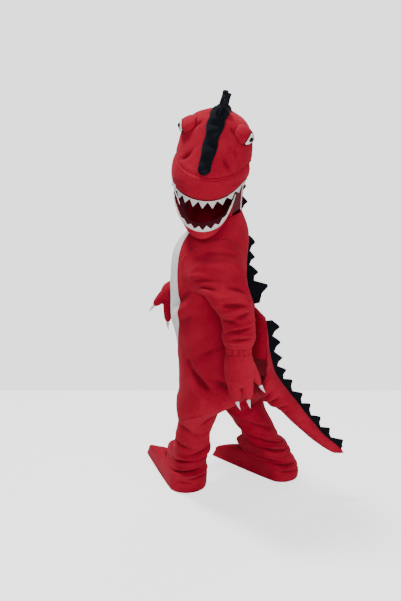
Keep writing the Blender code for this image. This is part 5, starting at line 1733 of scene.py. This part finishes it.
# Floor, light and camera
stage = dict(floor=(0.90, 0.895, 0.89), world=(0.93, 0.94, 0.95), worldLight=0.30, backdrop=2.2,
             floorGlow=1.45, floorBack=-0.9, floorReach=30,
             key=96.0, fill=20.0, head=2.2, low=17.0, back=13.0)
mesh = bpy.data.meshes.new("floor")
far = stage["floorReach"]
corners = ((stage["floorBack"], -far), (far, -far), (far, far), (stage["floorBack"], far))
mesh.from_pydata([(*place, floorHeight) for place in corners], [], [(0, 1, 2, 3)])
floor = newPiece("floor", mesh)
paint = bpy.data.materials.new("floorPaint")
paint.use_nodes = True
paintTree = paint.node_tree
shader = paintTree.nodes["Principled BSDF"]
preset(shader, {"Base Color": (*stage["floor"], 1), "Roughness": 0.9, "Emission Color": (1, 1, 1, 1)})
seen = addNode(paintTree, "ShaderNodeLightPath", (-500, 0))
glow = addNode(paintTree, "ShaderNodeMath", (-250, 0), operation="MULTIPLY")
glow.inputs[1].default_value = stage["floorGlow"]
paintTree.links.new(seen.outputs["Is Camera Ray"], glow.inputs[0])
paintTree.links.new(glow.outputs[0], shader.inputs["Emission Strength"])
mesh.materials.append(paint)

world = bpy.data.worlds.new("studio")
bpy.context.scene.world = world
world.use_nodes = True
tree = world.node_tree
lit = tree.nodes["Background"]
preset(lit, {"Color": (*stage["world"], 1), "Strength": stage["worldLight"]})
backdrop = addNode(tree, "ShaderNodeBackground", (0, -200))
preset(backdrop, {"Color": (*stage["world"], 1), "Strength": stage["backdrop"]})
ray = addNode(tree, "ShaderNodeLightPath", (0, 300))
both = addNode(tree, "ShaderNodeMixShader", (250, 0))
join(tree, [
    (ray, "Is Camera Ray", both, "Fac"), (lit, "Background", both, 1),
    (backdrop, "Background", both, 2),
])
tree.links.new(both.outputs["Shader"], tree.nodes["World Output"].inputs["Surface"])


def softbox(name, place, target, size, power):
    data = bpy.data.lights.new(name, "AREA")
    data.shape = "DISK"
    data.size = size
    data.energy = power
    light = bpy.data.objects.new(name, data)
    light.location = place
    light.rotation_euler = (Vector(target) - Vector(place)).to_track_quat("-Z", "Y").to_euler()
    bpy.context.scene.collection.objects.link(light)


softbox("keyLight", (-0.35, -0.75, 2.6), (0.05, 0, -0.2), 0.5, stage["key"])
softbox("fillLight", (2.5, 0.1, 0.8), (0, 0, -0.3), 1.3, stage["fill"])
softbox("headLight", (0.9, -0.55, 0.6), (0.1, 0, 0.2), 0.3, stage["head"])
softbox("lowLight", (1.6, 1.5, 0.1), (-0.1, 0.1, -0.55), 1.0, stage["low"])
softbox("backLight", (-1.8, 0.6, 1.8), (0, 0, 0), 1.2, stage["back"])

view = dict(place=(1.92, -0.032, 0.19), down=12.0, focal=650.0, frameWidth=401.0)
camera = bpy.data.objects.new("camera", bpy.data.cameras.new("camera"))
camera.data.sensor_fit = "HORIZONTAL"
camera.data.sensor_width = 36
camera.data.lens = 36 * view["focal"] / view["frameWidth"]
camera.location = view["place"]
camera.rotation_euler = (math.radians(90 - view["down"]), 0, math.radians(90))
bpy.context.scene.collection.objects.link(camera)
bpy.context.scene.camera = camera
print("stage, light and camera set")

bpy.context.view_layer.update()
